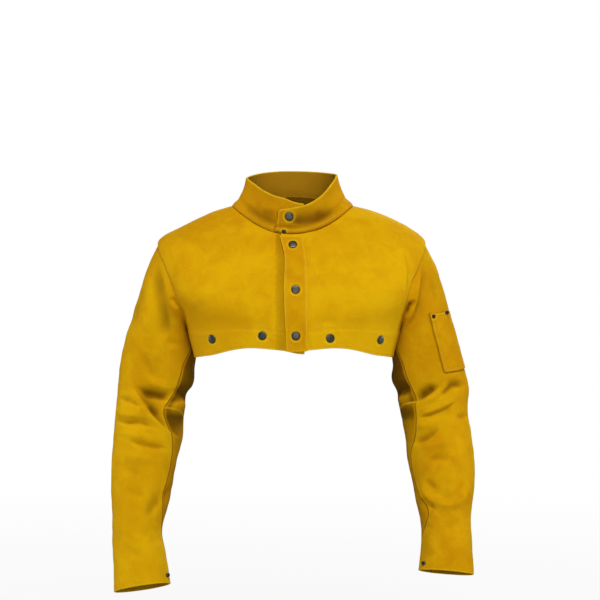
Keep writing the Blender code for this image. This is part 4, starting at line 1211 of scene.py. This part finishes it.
# The cut edge: its own lighter colour, and partly a painted highlight along the rims.
CUT_EDGE_WITH_HIGHLIGHT = leather_material(
    "cut_edge_with_painted_highlight", light=(0.76, 0.45, 0.010), middle=(0.68, 0.37, 0.006),
    deep=(0.48, 0.22, 0.004), worn=(0.84, 0.55, 0.02), sheen=0.20, bump=0.6)
SNAP_METAL = metal_material(
    "gunmetal_snap", (0.040, 0.040, 0.030), (0.095, 0.097, 0.078), (0.38, 0.56))
RIVET_METAL = metal_material(
    "dark_rivet", (0.030, 0.027, 0.018), (0.08, 0.075, 0.055), (0.32, 0.5))
THREAD = thread_material()


# Stitches and fasteners


def stitch_tree():
    """Stitches along the edges of a mesh: a short thread at each step, lying along the seam."""
    tree = bpy.data.node_groups.new("stitch_run", "GeometryNodeTree")
    sockets = {}
    for label, kind, value in (
        ("Seam", "Geometry", None),
        ("Pitch", "Float", STITCH_PITCH * MM),
        ("Length", "Float", STITCH_LENGTH * MM),
        ("Thickness", "Float", STITCH_THICKNESS * MM),
        ("Seed", "Int", None),
        ("Thread", "Material", None),
    ):
        socket = tree.interface.new_socket(
            name=label, in_out="INPUT", socket_type="NodeSocket" + kind)
        if value is not None:
            socket.default_value = value
        sockets[label] = socket.identifier
    tree.interface.new_socket(
        name="Stitches", in_out="OUTPUT", socket_type="NodeSocketGeometry")
    start = tree.nodes.new("NodeGroupInput").outputs
    curve = add_node(tree, "GeometryNodeMeshToCurve", {0: start["Seam"]})
    steps = add_node(tree, "GeometryNodeResampleCurve",
                     {"Curve": curve.outputs[0], "Length": start["Pitch"]}, mode="LENGTH")
    ball = add_node(tree, "GeometryNodeMeshUVSphere", {"Segments": 6, "Rings": 4, "Radius": 1.0})
    half = math_node(tree, "MULTIPLY", start["Length"], 0.5)
    size = add_node(tree, "ShaderNodeCombineXYZ",
                    {"X": start["Thickness"], "Y": start["Thickness"], "Z": half})
    shape = add_node(tree, "GeometryNodeTransform",
                     {"Geometry": ball.outputs["Mesh"], "Scale": size.outputs[0]})
    tangent = tree.nodes.new("GeometryNodeInputTangent")
    aim = add_node(tree, "FunctionNodeAlignRotationToVector", {"Vector": tangent.outputs[0]},
                   axis="Z")
    vary = add_node(tree, "FunctionNodeRandomValue", {2: 0.9, 3: 1.08, "Seed": start["Seed"]},
                    data_type="FLOAT")
    place = add_node(tree, "GeometryNodeInstanceOnPoints", {
        "Points": steps.outputs["Curve"], "Instance": shape.outputs["Geometry"],
        "Rotation": aim.outputs["Rotation"], "Scale": vary.outputs[1]})
    real = add_node(tree, "GeometryNodeRealizeInstances", {"Geometry": place.outputs["Instances"]})
    paint = add_node(tree, "GeometryNodeSetMaterial",
                     {"Geometry": real.outputs["Geometry"], "Material": start["Thread"]})
    add_node(tree, "NodeGroupOutput", {"Stitches": paint.outputs["Geometry"]})
    return tree, sockets


STITCH_TREE, STITCH_SOCKETS = stitch_tree()


def make_stitches(name, lines, seed):
    """Sews along each line of points and keeps the result as one plain mesh."""
    points, edges = [], []
    for line in lines:
        edges += [(len(points) + i, len(points) + i + 1) for i in range(len(line) - 1)]
        points += [tuple(point * MM) for point in line]
    seam = bpy.data.meshes.new(name + "_seam")
    seam.from_pydata(points, edges, [])
    carrier = place_object(name + "_seam", seam)
    modifier = carrier.modifiers.new("stitches", "NODES")
    modifier.node_group = STITCH_TREE
    modifier[STITCH_SOCKETS["Seed"]] = seed
    modifier[STITCH_SOCKETS["Thread"]] = THREAD
    graph = bpy.context.evaluated_depsgraph_get()
    mesh = bpy.data.meshes.new_from_object(carrier.evaluated_get(graph))
    mesh.name = name
    mesh.shade_smooth()
    bpy.data.objects.remove(carrier)
    add_piece(name, mesh, [], (THREAD,))


def fastener_profile(radius, rivet):
    """Half of a cap's section, from its middle out, round the rolled rim and down its post."""
    cap = (RIVET_CAP if rivet else SNAP_CAP) * radius
    low, high = SNAP_GROOVE
    rim = [(r * radius, h * cap) for r, h in CAP_PROFILE if not (rivet and low < r < high)]
    post = [(r * radius, z) for r, z in POST_PROFILE]
    return np.array(rim + [(post[0][0], rim[-1][1])] + post)


def make_fastener(fastener, sheet):
    """A snap or rivet, turned from its profile and seated on the leather."""
    rivet = fastener.radius == RIVET_RADIUS
    seat, normal = sheet.seat(fastener.x, fastener.z)
    seat = seat + TURN_LIFT * fastener.turn * fastener.radius * normal
    normal = unit((1 - fastener.turn) * normal + fastener.turn * np.array((0.0, -1.0, 0.0)))
    profile = fastener_profile(fastener.radius, rivet)
    side = unit(np.cross(normal, (0.0, 0.0, 1.0)))
    other = np.cross(normal, side)
    steps = FASTENER_STEPS
    turns = [2 * math.pi * i / steps for i in range(steps)]
    points = [seat + normal * profile[0, 1]]
    for radius, height in profile[1:-1]:
        middle = seat + normal * height
        points += [middle + radius * (side * math.cos(turn) + other * math.sin(turn))
                   for turn in turns]
    points.append(seat + normal * profile[-1, 1])
    following = [(i, (i + 1) % steps) for i in range(steps)]
    faces = [(0, 1 + i, 1 + j) for i, j in following]
    for low in range(1, 1 + (len(profile) - 3) * steps, steps):
        high = low + steps
        faces += [(low + i, high + i, high + j, low + j) for i, j in following]
    last = len(points) - 1
    faces += [(last, last - steps + j, last - steps + i) for i, j in following]
    mesh = bpy.data.meshes.new(fastener.name)
    mesh.from_pydata([tuple(point * MM) for point in points], [], faces)
    if np.dot(np.array(mesh.polygons[0].normal), normal) < 0:
        mesh.flip_normals()
    mesh.shade_smooth()
    material, slot = (RIVET_METAL, "rivet_metal") if rivet else (SNAP_METAL, "snap_metal")
    add_piece(fastener.name, mesh, [fastener.node], (material,))


# The garment and its studio


def cut_pieces():
    """(sheet, the solid it stands for) of every piece of leather, by name."""
    pieces = {
        "right_front": (front_panel(-1), "right_front_panel"),
        "left_front": (front_panel(1), "left_front_panel"),
        "placket_strip": (placket(), "front_placket"),
        "back": (back_panel(), "back_panel"),
        "right_facing": (hem_facing(-1), "right_hem_facing"),
        "left_facing": (hem_facing(1), "left_hem_facing"),
        "collar_band": (collar_band(), "collar"),
        "pen_pocket": (pen_pocket(), "sleeve_pocket"),
    }
    for word, side in SIDES.items():
        elbow = ELBOW_SEAM[side]
        for part, node, shape in (
            ("top", "top_sleeve", (0, SLEEVE_END, False, SLEEVE_ROWS, SLEEVE_COLUMNS)),
            ("under_upper", "under_sleeve_upper", (0, elbow, True, UPPER_ROWS, UNDER_COLUMNS)),
            ("under_lower", "under_sleeve_lower",
             (elbow, SLEEVE_END, True, LOWER_ROWS, UNDER_COLUMNS)),
        ):
            pieces[f"{word}_sleeve_{part}"] = (sleeve_panel(side, *shape), f"{word}_{node}")
    return pieces


def make_garment():
    """Makes every piece of leather and the fasteners, and returns the sheets by name."""
    pieces = cut_pieces()
    sheets = {name: sheet for name, (sheet, _) in pieces.items()}
    # Painted light and shade: each piece lighter or darker from shoulder to cuff, as the light
    # falls on it.
    for name, sheet in sheets.items():
        high, low = next(tones for part, tones in PAINTED_LIGHT_TONES.items() if part in name)
        sheet.tone = high + (low - high) * np.clip(-sheet.points[..., 2] / PAINTED_TONE_HEIGHT, 0, 1)
    for shaded, shading, edge, reach, depth in EDGE_SHADES:
        sheets[shaded].shade(sheets[shading].line(edge), reach, depth)
    pocket = sheets["pen_pocket"]
    for edge in ("first", "last", "bottom"):
        from_edge = distance_to(pocket.points, pocket.line(edge))
        pocket.turned = np.maximum(pocket.turned, smooth(2 - from_edge / 3))
    for fastener in FASTENERS:
        sheet = sheets[fastener.piece]
        sheet.press(sheet.seat(fastener.x, fastener.z)[0], fastener.radius)
    for name, (sheet, node) in pieces.items():
        make_leather(name, sheet, node, COLLAR_LEATHER if name == "collar_band" else LEATHER)
    for fastener in FASTENERS:
        make_fastener(fastener, sheets[fastener.piece])
    return sheets


def sew(sheets):
    """The visible rows of stitches."""
    strip, collar, pocket = sheets["placket_strip"], sheets["collar_band"], sheets["pen_pocket"]
    front = [strip.inset("first", PLACKET_FREE_STITCH), strip.inset("last", PLACKET_SEWN_STITCH)]
    for word, side in SIDES.items():
        panel, start = sheets[f"{word}_front"], HEM_STITCH_START[side]
        front += [panel.inset("last", SEAM_STITCH)[TIP_ROW + 3:UNDERARM_ROW - 3],
                  panel.inset("bottom", HEM_STITCH, start),
                  panel.inset("bottom", FACING_HEIGHT, start)]
    make_stitches("stitching_front", front, 1)
    back = [sheets["back"].inset("bottom", distance) for distance in (HEM_STITCH, BACK_HEM_STITCH)]
    make_stitches("stitching_back", back, 2)
    make_stitches("stitching_collar", [collar.inset("top", COLLAR_STITCH)], 3)
    around = [pocket.inset(edge, POCKET_STITCH) for edge in ("first", "last", "bottom")]
    make_stitches("stitching_pocket", around, 4)
    for word in SIDES:
        top, upper = sheets[f"{word}_sleeve_top"], sheets[f"{word}_sleeve_under_upper"]
        lines = [top.inset("last", SEAM_STITCH, SLEEVE_STITCH_START),
                 top.inset("first", SEAM_STITCH), upper.inset("bottom", SEAM_STITCH)]
        make_stitches(f"stitching_{word}_sleeve", lines, 5)


def make_floor():
    """A pale floor that goes over into the white surround."""
    reach, height = FLOOR_REACH, FLOOR_Z
    mesh = bpy.data.meshes.new("studio_floor")
    mesh.from_pydata([(-reach, -reach, height), (reach, -reach, height), (reach, reach, height),
                      (-reach, reach, height)], [], [(0, 1, 2, 3)])
    floor = place_object("studio_floor", mesh)
    paint, tree, shader, place = start_material("studio_floor")
    feed(tree, shader, {"Base Color": FLOOR_GREY, "Roughness": 0.9, "Specular IOR Level": 0.05})
    away = add_node(tree, "ShaderNodeVectorMath", {0: place}, operation="LENGTH")
    bleach = ranged(tree, away.outputs["Value"], 1.0, 3.2, 0.9, 1.0)
    rays = tree.nodes.new("ShaderNodeLightPath").outputs["Is Camera Ray"]
    glow = tree.nodes.new("ShaderNodeEmission").outputs[0]
    screen = add_node(tree, "ShaderNodeMixShader", {
        0: math_node(tree, "MULTIPLY", bleach, rays), 1: shader.outputs[0], 2: glow})
    feed(tree, tree.nodes["Material Output"], {"Surface": screen.outputs[0]})
    mesh.materials.append(paint)


def make_studio():
    """A pale floor, a white surround, soft lights and the camera."""
    scene = bpy.context.scene
    scene.view_settings.view_transform = "Standard"
    make_floor()

    scene.world = bpy.data.worlds.new("studio")
    scene.world.use_nodes = True
    tree = scene.world.node_tree
    tree.nodes.clear()
    rays = tree.nodes.new("ShaderNodeLightPath").outputs["Is Camera Ray"]
    glow, screen = (
        add_node(tree, "ShaderNodeBackground", {"Color": WHITE, "Strength": strength}).outputs[0]
        for strength in (WORLD_LIGHT, 1.0))
    both = add_node(tree, "ShaderNodeMixShader", {0: rays, 1: glow, 2: screen})
    add_node(tree, "ShaderNodeOutputWorld", {0: both.outputs[0]})

    for name, power, size, place in LIGHTS:
        light = bpy.data.lights.new(name, "AREA")
        light.energy, light.size = power, size
        lamp = place_object(name, light)
        lamp.location = place
        aim = Vector(LIGHT_AIM) - Vector(place)
        lamp.rotation_mode = "QUATERNION"
        lamp.rotation_quaternion = aim.to_track_quat("-Z", "Y")

    lens = bpy.data.cameras.new("camera")
    lens.sensor_width, lens.lens = SENSOR_WIDTH, SENSOR_WIDTH * -EYE[1] / VIEW_WIDTH
    lens.clip_end = 60
    camera = place_object("camera", lens)
    camera.location = Vector(EYE) * MM
    camera.rotation_euler = (math.radians(90), 0, 0)
    scene.camera = camera


make_studio()
sew(make_garment())

bpy.context.view_layer.update()
